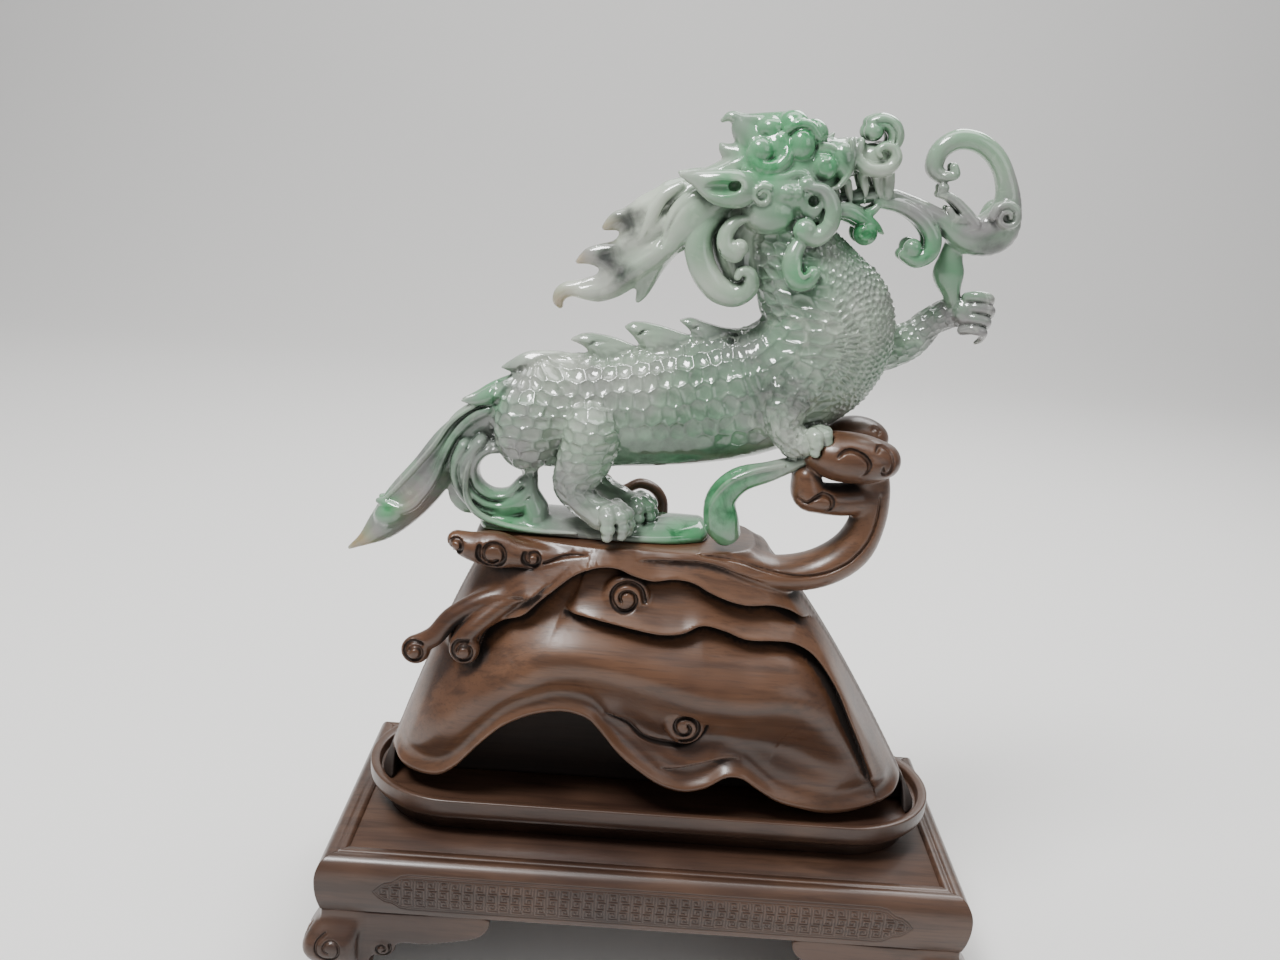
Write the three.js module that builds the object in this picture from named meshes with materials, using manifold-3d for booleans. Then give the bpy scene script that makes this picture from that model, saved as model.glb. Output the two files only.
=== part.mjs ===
// A carved jade qilin on a hardwood rockwork stand, in an oval tray, on a rectangular display stand.
// Millimetres, +Z up. The qilin looks towards +X, and the work's front faces -Y.
// The origin is the middle of the footprint, on the surface that the display stand rests on.
import * as THREE from "three";
import { mergeVertices } from "three/addons/utils/BufferGeometryUtils.js";
import Module from "manifold-3d";

const wasm = await Module();
wasm.setup();

// Driving dimensions

const FIT_GAP = 0.3; // between pieces that rest on or in each other

const STAND_LENGTH = 328; // rectangular stand, over the round noses of the rails
const STAND_DEPTH = 151;
const STAND_HEIGHT = 72;
const RAIL_HEIGHT = 29;
const RAIL_WIDTH = 14;
const RAIL_FLAT = 7; // flat band on top, between the round nose and the panel
const RAIL_UNDERCUT = 2.5; // how far the lower nose turns in
const PANEL_THICKNESS = 12;
const PANEL_RECESS = 0.6; // the panel lies this much under the rails
const FOOT_BULGE = 9; // how far the knee of a bracket foot stands out past its boards
const FOOT_REACH = 85; // length of a bracket along the front, measured from the corner
const FOOT_SIDE_REACH = 52; // and along the side
const FOOT_BOARD = 11; // thickness of the bracket boards
const FOOT_APRON = 13; // depth of the bracket's tip below the rail
const FOOT_POST = 26; // width of the leg at the corner

const TRAY_LENGTH = 303.2;
const TRAY_DEPTH = 98;
const TRAY_HEIGHT = 22;
const TRAY_RIM = 5; // thickness of the rim
const TRAY_SINK = 6; // depth of the tray inside its rim
const TRAY_FOOT_HEIGHT = 9;
const TRAY_FOOT_INSET = 10;

const ROCK_HEIGHT = 141.2; // from the tray's floor to the platform under the jade
const ROCK_WAIST = 26; // half depth of the rockwork just below the platform
const PLATFORM_THICKNESS = 15;
const CAVE_HEIGHT = 55; // the hollow under the front skirt
const CAVE_LENGTH = 106;
const CAVE_DEPTH = 34;

const FIGURE_HEIGHT = 212; // from the jade's flat underside to the top of its crest
const FIGURE_GRID = 1 / 210; // the figure is laid out on a grid whose step is this share of its height
const HEAD_SET_BACK = 1.7; // how far the head, the mane and the vine lean back from where the grid has them

const STEP = FIGURE_HEIGHT * FIGURE_GRID;
const TRAY_FLOOR = STAND_HEIGHT + TRAY_HEIGHT - TRAY_SINK;
const ROCK_TOP = TRAY_FLOOR + FIT_GAP + ROCK_HEIGHT;
const FIGURE_FLOOR = ROCK_TOP + FIT_GAP;

// Solids: closed meshes, joined and cut

function solidOf(geometry) {
  geometry.deleteAttribute("normal");
  geometry.deleteAttribute("uv");
  const merged = mergeVertices(geometry, 1e-4);
  return new wasm.Manifold(
    new wasm.Mesh({
      numProp: 3,
      vertProperties: new Float32Array(merged.attributes.position.array),
      triVerts: new Uint32Array(merged.index.array),
    }),
  );
}

function join(solids) {
  return solids.reduce((whole, solid) => whole.add(solid));
}

function meshOf(name, solid, material) {
  const made = solid.getMesh();
  const geometry = new THREE.BufferGeometry();
  geometry.setAttribute("position", new THREE.BufferAttribute(made.vertProperties, 3));
  geometry.setIndex(new THREE.BufferAttribute(made.triVerts, 1));
  geometry.computeVertexNormals();
  const mesh = new THREE.Mesh(geometry, material);
  mesh.name = name;
  return mesh;
}

// A closed skin over rings of points, each ring with the same count. Each end is closed by a fan from its middle.
function skin(rings) {
  const sides = rings[0].length;
  const points = rings.flat();
  const middle = (ring) => ring.reduce((sum, p) => sum.add(p), new THREE.Vector3()).divideScalar(sides);
  const first = points.push(middle(rings[0])) - 1;
  const last = points.push(middle(rings[rings.length - 1])) - 1;
  const faces = [];
  for (let side = 0; side < sides; side++) {
    const next = (side + 1) % sides;
    for (let row = 0; row + 1 < rings.length; row++) {
      const low = row * sides;
      const high = low + sides;
      faces.push(low + side, low + next, high + next, low + side, high + next, high + side);
    }
    const end = (rings.length - 1) * sides;
    faces.push(first, next, side, last, end + side, end + next);
  }
  const geometry = new THREE.BufferGeometry().setFromPoints(points);
  geometry.setIndex(faces);
  const solid = solidOf(geometry);
  return solid.volume() < 0 ? solidOf(flipped(geometry)) : solid;
}

function flipped(geometry) {
  const index = geometry.index.array;
  for (let i = 0; i < index.length; i += 3) {
    [index[i + 1], index[i + 2]] = [index[i + 2], index[i + 1]];
  }
  return geometry;
}

const POINTED = 2.3; // a limb whose last radius is under this, on the grid, ends in a point
const END_SLIDE = 0.7; // how far a rounded end's last ring stands out, and how wide it is, as shares of the radius
const END_SHARE = 0.72;

// Stations are rows of x, y, z, radius across the figure and radius in its own plane, on the figure's grid.
// The limb runs through them with oval sections. Its far end is rounded unless it tapers to a point, and its root only
// where it shows. grow widens it all round, in millimetres.
function limb(stations, { sides = 8, steps = 1, grow = 0, roundRoot = false } = {}) {
  const places = new THREE.CatmullRomCurve3(stations.map(([x, y, z]) => at(x, y, z)));
  const girths = new THREE.CatmullRomCurve3(stations.map(([, , , across, inPlane]) => at(across, inPlane, 0)));
  const count = (stations.length - 1) * steps;
  const fullness = Math.sqrt((2 * Math.PI) / sides / Math.sin((2 * Math.PI) / sides)); // same area as a true oval
  const rings = [];
  const ring = (t, slide, share) => {
    const along = places.getTangent(t);
    const across = new THREE.Vector3(0, 1, 0).addScaledVector(along, -along.y).normalize();
    const up = new THREE.Vector3().crossVectors(along, across);
    const girth = girths.getPoint(t);
    const middle = places.getPoint(t).addScaledVector(along, slide * (Math.min(girth.x, girth.y) + grow));
    const points = [];
    for (let side = 0; side < sides; side++) {
      const turn = (2 * Math.PI * side) / sides;
      const point = middle.clone();
      point.addScaledVector(across, (girth.x * fullness + grow) * share * Math.cos(turn));
      point.addScaledVector(up, (girth.y * fullness + grow) * share * Math.sin(turn));
      points.push(point);
    }
    rings.push(points);
  };
  const roundTip = stations[stations.length - 1][4] > POINTED;
  if (roundRoot) ring(0, -END_SLIDE, END_SHARE);
  for (let i = 0; i <= count; i++) ring(i / count, 0, 1);
  if (roundTip) ring(1, END_SLIDE, END_SHARE);
  return skin(rings);
}

// A point on the figure's grid.
function at(x, y, z) {
  return new THREE.Vector3(x, y, z).multiplyScalar(STEP);
}

// An oval ball on the figure's grid, with its radii along x, y and z.
function ball(x, y, z, rx, ry = rx, rz = rx, { sides = 8, grow = 0 } = {}) {
  const geometry = new THREE.SphereGeometry(1, sides, Math.ceil(sides * 0.55));
  geometry.scale(rx * STEP + grow, ry * STEP + grow, rz * STEP + grow);
  const place = at(x, y, z);
  geometry.translate(place.x, place.y, place.z);
  return solidOf(geometry);
}

// A curl: a tube that winds in from a start angle, ending in a button. Angles are in turns, in the x z plane.
function curl({ x, y, z, radius, tube, start = 0, turns = 0.8, depth = tube }) {
  const stations = [];
  const COUNT = 4;
  for (let i = 0; i <= COUNT; i++) {
    const share = i / COUNT;
    const angle = 2 * Math.PI * (start + turns * share);
    const reach = radius * (1 - 0.55 * share);
    stations.push([x + reach * Math.cos(angle), y, z + reach * Math.sin(angle), depth, tube * (1 - 0.25 * share)]);
  }
  return join([limb(stations, { sides: 5 }), ball(x, y, z, tube * 1.1, depth * 1.1, tube * 1.1, { sides: 5 })]);
}

// The qilin

const SIDES = [-1, 1]; // near side, towards -Y, and far side

function torso() {
  return limb(
    [
      [-82, 0, 56, 17, 20],
      [-66, -1, 59, 23, 29.5],
      [-34, 0, 63.5, 23, 30.5],
      [8, 0, 70, 22, 32.5],
      [36, 0, 77, 23, 32],
      [54, 0, 86, 25, 31.5],
      [66, 0, 99, 25, 33],
      [69, 0, 113, 25, 32],
      [60, 0, 128, 22, 27.5],
      [48, 0, 147, 17, 21.5],
      [44, 0, 168, 16, 20],
    ],
    { sides: 12, roundRoot: true },
  );
}

function dorsalFins() {
  const tips = [
    [-56, 96, -32, 91],
    [-29, 105, -6, 98],
    [-3, 109.5, 18, 101],
    [-87, 81, -58, 86],
  ];
  const fins = tips.map(([tipX, tipZ, rootX, rootZ]) => {
    const middleX = (tipX + rootX) / 2;
    const middleZ = (tipZ + rootZ) / 2;
    return limb(
      [
        [rootX + 2, 0, rootZ - 5, 3.5, 6],
        [middleX + 1, 0, middleZ - 3, 3, 6],
        [tipX, 0, tipZ, 1.2, 0.7],
      ],
      { sides: 6 },
    );
  });
  return join(fins);
}

function tail() {
  return join([
    limb(
      [
        [-82, 0, 62, 8, 9],
        [-96, 0, 57, 8, 9.5],
        [-110, 0, 40, 8, 10.5],
        [-122, 0, 22, 8, 11],
        [-134, 0, 7, 8, 11],
        [-146, 0, -6, 7, 8.5],
        [-155, 0, -14, 4, 4],
        [-163, 0, -20.5, 1.5, 1],
      ],
    ),
    limb(
      [
        [-88, -7, 62, 2.5, 2.5],
        [-110, -8, 44, 2.5, 2.5],
        [-127, -8, 15, 2.5, 2.5],
        [-147, -6, 4, 2.5, 2.5],
      ],
      { sides: 5 },
    ),
    limb(
      [
        [-84, 0, 66, 5, 7],
        [-96, 0, 65, 3, 4],
        [-106, 0, 62, 1, 0.8],
      ],
      { sides: 6 },
    ),
  ]);
}

// The ribbon that curls behind the hind leg and runs on as the base that the paws stand on.
function ribbonBase() {
  const plate = limb(
    [
      [-90, 0, 1.5, 17, 5.5],
      [-60, 0, 1, 20, 5.5],
      [-25, 0, 1, 21, 5.5],
      [2, 0, 1.5, 20, 6],
      [14, 0, 2, 15, 6.5],
    ],
    { sides: 8, roundRoot: true },
  );
  const band = limb(
    [
      [-82, -6, 47, 7, 3.6],
      [-97, -7, 38, 7, 4],
      [-101, -8, 22, 7, 4.2],
      [-90, -10, 7, 8, 4.5],
      [-70, -12, 3, 8, 4.5],
    ],
    { sides: 6 },
  );
  const inner = limb(
    [
      [-80, -5, 40, 5, 2.4],
      [-92, -6, 38, 5, 2.4],
      [-96, -6, 24, 5, 2.6],
      [-86, -8, 13, 5, 2.8],
      [-72, -8, 16, 5, 2.8],
      [-64, -8, 27, 5, 2.8],
    ],
    { sides: 5 },
  );
  return join([plate, band, inner]);
}

function frontLeaf(grow = 0) {
  return limb(
    [
      [62, -19, 48, 4, 3.2],
      [46, -21, 41.5, 5, 5],
      [31, -22, 36, 6, 6.5],
      [23.5, -22, 26, 6.5, 7.5],
      [25, -22, 14, 6.5, 8.5],
      [28, -20, 8, 6, 7],
    ],
    { sides: 8, grow },
  );
}

// A paw: a palm and four clawed toes that fan out from it. heading is the way the toes point, in degrees from +X
// towards the front, and drop how far they reach down.
function paw({ x, y, z, size, heading, drop, grow = 0, toes = 4, rise = 0 }) {
  const parts = [ball(x, y, z, size * 0.95, size * 0.9, size * 0.75, { grow })];
  const SPREAD = 26;
  for (let toe = 0; toe < toes; toe++) {
    const angle = THREE.MathUtils.degToRad(heading + SPREAD * (toe - (toes - 1) / 2));
    const reach = (share) => [x + size * share * Math.cos(angle), y - size * share * Math.sin(angle)];
    const [x0, y0] = reach(0.3);
    const [x1, y1] = reach(1);
    const [x2, y2] = reach(1.6);
    parts.push(
      limb(
        [
          [x0, y0, z + size * 0.1, size * 0.3, size * 0.3],
          [x1, y1, z + rise * 0.6 - drop * 0.2, size * 0.3, size * 0.32],
          [x2, y2, z + rise - drop, size * 0.17, size * 0.2],
        ],
        { sides: 4, grow },
      ),
    );
  }
  return join(parts);
}

function hindLegs() {
  return join([
    limb(
      [
        [-44, -15, 60, 11, 15],
        [-42, -18, 46, 11, 14],
        [-47, -20, 29, 8.5, 9.5],
        [-46, -21, 19, 7.5, 8],
        [-38, -22, 11, 7.5, 7.5],
      ],
      { sides: 10 },
    ),
    paw({ x: -37, y: -23, z: 9, size: 10, heading: 25, drop: 4 }),
    limb(
      [
        [-38, 14, 46, 11, 13],
        [-30, 18, 30, 8, 9],
        [-28, 19, 16, 7.5, 8],
      ],
    ),
    paw({ x: -23, y: 19, z: 9, size: 10, heading: 5, drop: 4, toes: 3 }),
  ]);
}

const NEAR_PAW = { x: 61, y: -22, z: 57, size: 10.5, heading: 8, drop: 5, rise: 8 };

function nearForeleg(grow = 0) {
  return join([
    limb(
      [
        [60, -14, 92, 12, 17],
        [52, -18, 79, 10, 14],
        [50, -20, 66, 9, 9.5],
        [56, -21, 57, 8, 8],
      ],
      { sides: 7, grow },
    ),
    paw({ ...NEAR_PAW, grow }),
  ]);
}

function raisedForeleg() {
  const arm = limb(
    [
      [86, 12, 99, 10, 14],
      [101, 14, 100, 9, 11.5],
      [113, 14, 105, 8, 9.5],
      [122, 13, 115, 7.5, 7.5],
      [132, 11, 121, 7.5, 8],
    ],
    { sides: 8 },
  );
  const fist = [ball(137, 9, 121, 9, 9, 9)];
  for (let finger = 0; finger < 3; finger++) {
    const z = 127 - 6 * finger;
    fist.push(
      limb(
        [
          [139, 2, z, 3, 3],
          [146 - finger * 0.6, 0, z - 1, 3, 3],
          [147 - finger, 6, z - 3, 2.6, 2.2],
        ],
        { sides: 4 },
      ),
    );
  }
  return join([arm, ...fist]);
}

function mane() {
  const locks = [
    [[26, 0, 174, 9, 9], [6, 0, 171, 8, 9], [-12, 0, 168, 7, 8], [-28, 0, 160, 5, 5.5], [-42, 0, 151.5, 1.5, 0.9]],
    [[6, 0, 163, 8, 10], [-16, 0, 156, 7, 9], [-36, 0, 144, 4.5, 6], [-54, 0, 134, 1.5, 0.9]],
    [[26, 0, 166, 9, 12], [4, 0, 158, 8, 11], [-20, 0, 145, 7, 10], [-42, 0, 126, 5, 7], [-56, 0, 118, 3.5, 3.5],
      [-64, 0, 113, 1.5, 1]],
    [[4, 0, 156, 8, 10], [-10, 0, 143, 7, 9], [-19, 0, 130, 4.5, 5.5], [-25, 0, 118, 1.5, 0.9]],
  ];
  return join(locks.map((lock) => limb(lock, { sides: 5 })));
}

function skull() {
  return join([
    ball(45, 0, 173, 28, 19, 23),
    ball(42, 0, 192, 18, 15, 14, { sides: 6 }),
    limb([[50, 0, 185, 15, 13], [66, 0, 190, 13, 11], [79, 0, 194, 11, 9]], { sides: 7 }),
    limb([[52, 0, 169, 13, 10], [66, 0, 168, 11, 6.5], [76, 0, 164, 8, 5], [84, 0, 158.5, 6, 4.5]], { sides: 7 }),
    ball(83, 0, 193.5, 9.5, 12.5, 9.5),
    limb([[70, 0, 192, 8, 6], [82, 0, 204, 8, 8], [88, 0, 208, 6, 5]], { sides: 6 }),
    limb([[82, 0, 190, 9, 5], [88, 0, 180, 8, 4]], { sides: 5 }),
    ball(46, 0, 204, 9, 11, 6, { sides: 6 }),
    ball(31, 0, 203, 5, 11, 5, { sides: 6 }),
    limb([[30, 0, 196, 10, 9], [20, 0, 204, 6, 5.5], [8.5, 0, 206, 1.5, 1]], { sides: 6 }),
    limb([[30, 0, 188, 8, 7], [17, 0, 190, 4, 4], [10, 0, 184, 1.5, 1]], { sides: 6 }),
  ]);
}

// What the head has on both sides: curls, cheeks, the ring about the eye, ears, scrolls and the curled beard.
function faceCarving(side) {
  const parts = [
    ball(30, 10 * side, 193, 9, 9, 7.5, { sides: 6 }),
    ball(59, 11 * side, 189, 7, 6, 7, { sides: 6 }),
    ball(35, 14 * side, 163, 10.5, 8, 11, { sides: 6 }),
    ball(35, 13 * side, 177, 13, 8, 8, { sides: 6 }),
  ];
  const eyeRing = [];
  const EYE_RING_STEPS = 5;
  for (let i = 0; i <= EYE_RING_STEPS; i++) {
    const angle = THREE.MathUtils.degToRad(118 - (290 * i) / EYE_RING_STEPS);
    eyeRing.push([54 + 9.5 * Math.cos(angle), 15 * side, 165 + 13.5 * Math.sin(angle), 5, 3.6]);
  }
  parts.push(limb(eyeRing, { sides: 5 }));
  parts.push(ball(50.5, 18 * side, 159, 5.2, 4.5, 5.4, { sides: 6 }));
  parts.push(
    limb(
      [[27, 14 * side, 175, 4, 4], [10, 19 * side, 176, 4, 8.5], [-6, 17 * side, 178, 1.6, 1]],
      { sides: 6 },
    ),
  );
  parts.push(
    limb(
      [
        [51, 14 * side, 151, 5, 5],
        [47, 16 * side, 143, 4, 4.6],
        [48, 17 * side, 134.5, 4, 4.6],
        [55, 17 * side, 132.5, 4, 4],
        [57, 17 * side, 138, 3.6, 3.6],
      ],
      { sides: 5 },
    ),
  );
  parts.push(curl({ x: 21, y: 16 * side, z: 149.5, radius: 8.5, tube: 3.4, depth: 4, start: 0.12, turns: 0.85 }));
  parts.push(
    limb(
      [
        [6, 8 * side, 154, 5, 5],
        [3.5, 10 * side, 143, 5, 4.5],
        [8, 12 * side, 131, 5, 4.5],
        [19, 14 * side, 124.5, 5, 4.5],
        [28.5, 15 * side, 130, 4.5, 4.2],
        [25.5, 16 * side, 137, 4.5, 4],
      ],
      { sides: 5 },
    ),
  );
  return join(parts);
}

// The vine runs out of the mouth, swells to a bulb over the raised paw and curls up and back.
function vine() {
  return join([
    limb(
      [
        [68, 0, 172, 6, 4],
        [88, 0, 174.5, 5.5, 4],
        [104, 0, 170, 5.5, 4.6],
        [118, 0, 164.5, 5.5, 5],
        [133, 0, 158, 7.5, 8.5],
        [145, 0, 162, 8, 10.5],
        [148.5, 0, 173, 7, 6.8],
        [146, 0, 185, 5.5, 5],
        [140, 0, 195, 5, 4.8],
        [131, 0, 201, 5, 4.8],
        [121, 0, 201.5, 5, 4.8],
        [113.5, 0, 196, 5, 4.6],
        [112, 0, 188, 5, 4.4],
        [117, 0, 184, 4.5, 4],
      ],
      { sides: 6 },
    ),
    ball(120, 0, 187.5, 4, 5, 4, { sides: 5 }),
    limb(
      [
        [90, -3, 171, 4.5, 3.6],
        [103, -4, 167, 5, 4],
        [114, -4, 159, 5, 4.6],
        [114, -4, 148, 5, 4.6],
        [105, -4, 145, 4.5, 4],
      ],
      { sides: 5 },
    ),
    ball(105.5, -5, 151.5, 5, 5.5, 5, { sides: 6 }),
    ball(147, -5, 169, 6.5, 6, 6.5, { sides: 6 }),
    limb([[132, -2, 162, 4, 4], [127, -3, 172, 3, 3], [116.5, -3, 178, 2.6, 2.2]], { sides: 5 }),
    limb([[127, 3, 154, 4.5, 4.5], [126.5, 4, 142, 5.5, 7.8], [130, 6, 129, 4.5, 3.6]], { sides: 6 }),
  ]);
}

function jadeQilin() {
  const standing = join([ribbonBase(), frontLeaf(), hindLegs()]);
  const body = join([standing.trimByPlane([0, 0, 1], 0), torso(), dorsalFins(), tail(), nearForeleg(), raisedForeleg()]);
  const head = join([mane(), skull(), vine(), ...SIDES.map(faceCarving)]);
  const eyes = SIDES.map((side) => ball(53.5, 20 * side, 171.5, 2.6, 6, 2.6));
  return body.add(head.subtract(join(eyes)).translate([-HEAD_SET_BACK, 0, 0]));
}

// The rockwork stand

const ROCK_LEFT = -84; // ends of the platform, on the figure's grid
const ROCK_RIGHT = 44;

// Half widths of the rockwork at a height, as a share of its full height: left and right ends, and half depth.
function rockEnds(share) {
  const footEnd = TRAY_LENGTH / 2 - TRAY_RIM - 2;
  const footDepth = TRAY_DEPTH / 2 - TRAY_RIM - 2;
  const spread = (1 - share) ** 0.78;
  const left = ROCK_LEFT * STEP + (-footEnd - ROCK_LEFT * STEP) * spread;
  const right = ROCK_RIGHT * STEP + (footEnd - ROCK_RIGHT * STEP) * spread;
  const deep = ROCK_WAIST + (footDepth - ROCK_WAIST) * (1 - share ** 2.2);
  return { left, right, deep };
}

const ROCK_SQUARENESS = 3;

// The depth of the rockwork's face at x, at a share of its height.
function rockFace(x, share) {
  const { left, right, deep } = rockEnds(share);
  const middle = (left + right) / 2;
  const reach = Math.min(1, Math.abs((x - middle) / ((right - left) / 2)));
  return deep * (1 - reach ** ROCK_SQUARENESS) ** (1 / ROCK_SQUARENESS);
}

function rockBody() {
  const LEVELS = 6;
  const AROUND = 18;
  const rings = [];
  for (let level = 0; level <= LEVELS; level++) {
    const share = level / LEVELS;
    const { left, right, deep } = rockEnds(share);
    const ring = [];
    for (let i = 0; i < AROUND; i++) {
      const turn = (2 * Math.PI * i) / AROUND;
      const power = 2 / ROCK_SQUARENESS;
      const x = Math.sign(Math.cos(turn)) * Math.abs(Math.cos(turn)) ** power;
      const y = Math.sign(Math.sin(turn)) * Math.abs(Math.sin(turn)) ** power;
      ring.push(new THREE.Vector3((left + right) / 2 + (x * (right - left)) / 2, y * deep, (share - 1) * ROCK_HEIGHT));
    }
    rings.push(ring);
  }
  return skin(rings);
}

// A raised lip that runs over the rock's face, through rows of x on the grid, height share and half width.
function lip(rows, face, depth = 6) {
  return limb(
    rows.map(([x, share, width]) => {
      const y = face * (rockFace(x * STEP, share) - 1);
      return [x, y / STEP, ((share - 1) * ROCK_HEIGHT) / STEP, depth, width];
    }),
    { sides: 5 },
  );
}

function rockLips() {
  const upper = [[-98, 0.6, 5], [-78, 0.76, 6], [-58, 0.89, 6], [-32, 0.95, 6], [10, 0.925, 6], [30, 0.87, 6],
    [60, 0.855, 6], [78, 0.78, 5], [94, 0.62, 4]];
  const middle = [[-60, 0.78, 4], [-42, 0.79, 5], [-6, 0.73, 6], [36, 0.745, 5], [68, 0.72, 5], [90, 0.61, 5],
    [110, 0.42, 4], [124, 0.26, 3]];
  const skirt = [[-134, 0.06, 4], [-110, 0.07, 5], [-88, 0.22, 6], [-66, 0.38, 7], [-45, 0.43, 8], [-26, 0.37, 7],
    [-6, 0.2, 6], [16, 0.13, 5], [42, 0.19, 5], [72, 0.08, 5], [100, 0.05, 5], [132, 0.1, 3]];
  const rear = upper.filter((row, i) => i % 2 === 1);
  return join([lip(upper, -1), lip(middle, -1), lip(skirt, -1), lip(rear, 1)]);
}

function rockScrolls() {
  const onFace = (x, share, out) => -rockFace(x * STEP, share) / STEP - out;
  const height = (share) => ((share - 1) * ROCK_HEIGHT) / STEP;
  return join([
    curl({ x: -17, y: onFace(-17, 0.81, 1), z: height(0.81), radius: 8, tube: 2.4, start: 0.3, turns: 1.1 }),
    curl({ x: 14, y: onFace(14, 0.33, 1), z: height(0.33), radius: 8, tube: 2.4, start: 0.6, turns: -1.1 }),
    ball(-122, -32, -60, 8, 6, 8, { sides: 6 }),
    ball(-98, -36, -54, 7.5, 6, 7.5, { sides: 6 }),
    limb([[-119, -32, -58, 5, 6], [-107, -31, -43, 5, 5], [-90, -29, -33, 5, 5], [-72, -26, -28, 5, 5]], { sides: 5 }),
    limb([[-98, -36, -50, 5, 5], [-88, -33, -38, 5, 5], [-72, -29, -26, 5, 5], [-60, -27, -18, 5, 5]], { sides: 5 }),
    ball(-99, -30, -1, 5.5, 6, 5.5, { sides: 6 }),
    ball(-86, -33, -6, 8, 6, 8, { sides: 6 }),
    limb([[-100, -26, -4, 6, 4], [-84, -27, -8, 7, 7], [-66, -27, -9, 6, 6], [-44, -26, -9, 6, 4]], { sides: 5 }),
    limb([[-30, 27, -14, 5, 12], [-28, 35, 8, 4.5, 11], [-20, 36, 17, 4.5, 8]], { sides: 5 }),
  ]);
}

function rockArm() {
  return limb(
    [
      [8, -12, -8, 14, 4],
      [32, -14, -11, 14, 6.5],
      [56, -15, -14, 14, 7.5],
      [76, -15, -9.5, 13, 9],
      [91, -15, 2, 12, 9.5],
      [98, -14, 18, 11, 8.5],
      [98, -13, 34, 11, 9],
      [94, -12, 46, 11, 10],
    ],
    { sides: 8 },
  );
}

function rockCaps() {
  return join([
    ball(86, -20, 48.5, 24.5, 16, 11.5),
    ball(93, 6, 54, 15, 14, 9, { sides: 6 }),
    ball(73, -20, 27, 12, 10, 10, { sides: 6 }),
    limb([[74, -18, 26, 7, 6], [86, -16, 22, 8, 6], [96, -14, 14, 8, 6]], { sides: 5 }),
  ]);
}

function platform() {
  const left = (ROCK_LEFT - 12) * STEP;
  const right = (ROCK_RIGHT + 14) * STEP;
  const outline = new THREE.Shape();
  outline.absellipse((left + right) / 2, 0, (right - left) / 2, ROCK_WAIST + 2, 0, 2 * Math.PI, false, 0);
  const geometry = new THREE.ExtrudeGeometry(outline, {
    depth: PLATFORM_THICKNESS - 3,
    bevelThickness: 3,
    bevelSize: 3,
    bevelSegments: 1,
    curveSegments: 7,
  });
  geometry.translate(0, 0, -PLATFORM_THICKNESS);
  return solidOf(geometry);
}

// The rockwork keeps clear of the paw, the foreleg and the leaf that lie against its arm and caps.
function rockworkStand() {
  const cave = (x, length, height) => {
    const geometry = new THREE.SphereGeometry(1, 12, 6);
    geometry.scale(length / 2, CAVE_DEPTH, height);
    geometry.translate(x * STEP, -(TRAY_DEPTH / 2 - TRAY_RIM), -ROCK_HEIGHT);
    return solidOf(geometry);
  };
  const body = join([rockBody(), platform(), rockLips(), rockScrolls(), rockArm(), rockCaps()]);
  const hollows = join([cave(-43, CAVE_LENGTH, CAVE_HEIGHT), cave(45, CAVE_LENGTH * 0.62, CAVE_HEIGHT * 0.42)]);
  const seats = join([nearForeleg(FIT_GAP * 1.2), frontLeaf(FIT_GAP * 1.2)]).translate([0, 0, FIT_GAP]);
  return body.subtract(hollows).subtract(seats);
}

// The oval tray

// A closed loop round the tray's outline, moved in by inset: straight sides and round ends.
function trayRing(inset, z) {
  const AROUND = 8;
  const radius = TRAY_DEPTH / 2 - inset;
  const straight = (TRAY_LENGTH - TRAY_DEPTH) / 2;
  const ring = [];
  for (const end of SIDES) {
    for (let i = 0; i <= AROUND; i++) {
      const turn = Math.PI * (i / AROUND - 0.5) + (end < 0 ? Math.PI : 0);
      ring.push(new THREE.Vector3(end * straight + radius * Math.cos(turn), radius * Math.sin(turn), z));
    }
  }
  return ring;
}

function ovalTray() {
  const wall = TRAY_HEIGHT - TRAY_FOOT_HEIGHT;
  const profile = [
    [TRAY_FOOT_INSET, FIT_GAP],
    [TRAY_FOOT_INSET, TRAY_FOOT_HEIGHT],
    [TRAY_RIM * 0.5, TRAY_FOOT_HEIGHT + wall * 0.12],
    [0, TRAY_FOOT_HEIGHT + wall * 0.4],
    [0, TRAY_HEIGHT - 1.2],
    [1.2, TRAY_HEIGHT],
    [TRAY_RIM - 1.2, TRAY_HEIGHT],
    [TRAY_RIM, TRAY_HEIGHT - 1.2],
    [TRAY_RIM, TRAY_HEIGHT - TRAY_SINK],
  ];
  return skin(profile.map(([inset, z]) => trayRing(inset, z)));
}

// The display stand

// Outline of a rail across its length: rows of inset from the stand's edge and height under the stand's top.
function railProfile() {
  const NOSE_STEPS = 5;
  const rows = [];
  for (let i = 0; i <= NOSE_STEPS; i++) {
    const turn = (Math.PI / 2) * (i / NOSE_STEPS);
    rows.push([RAIL_FLAT * (1 - Math.sin(turn)), -RAIL_HEIGHT * 0.42 * (1 - Math.cos(turn))]);
  }
  rows.push([RAIL_UNDERCUT * 0.25, -RAIL_HEIGHT * 0.8], [RAIL_UNDERCUT, -RAIL_HEIGHT]);
  rows.push([RAIL_WIDTH, -RAIL_HEIGHT], [RAIL_WIDTH, 0]);
  return rows;
}

// One rail with mitred ends. length is the stand's size along the rail, and offset the stand's edge from its middle.
function rail(length, offset) {
  const mitreGap = FIT_GAP * Math.SQRT1_2;
  const end = (side) => railProfile().map(([inset, z]) => new THREE.Vector3(side * (length / 2 - inset - mitreGap), inset - offset, z));
  return skin([end(-1), end(1)]);
}

function standPanel() {
  const length = STAND_LENGTH - 2 * (RAIL_WIDTH + FIT_GAP);
  const depth = STAND_DEPTH - 2 * (RAIL_WIDTH + FIT_GAP);
  return solidOf(new THREE.BoxGeometry(length, depth, PANEL_THICKNESS).translate(0, 0, -PANEL_RECESS - PANEL_THICKNESS / 2));
}

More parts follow.
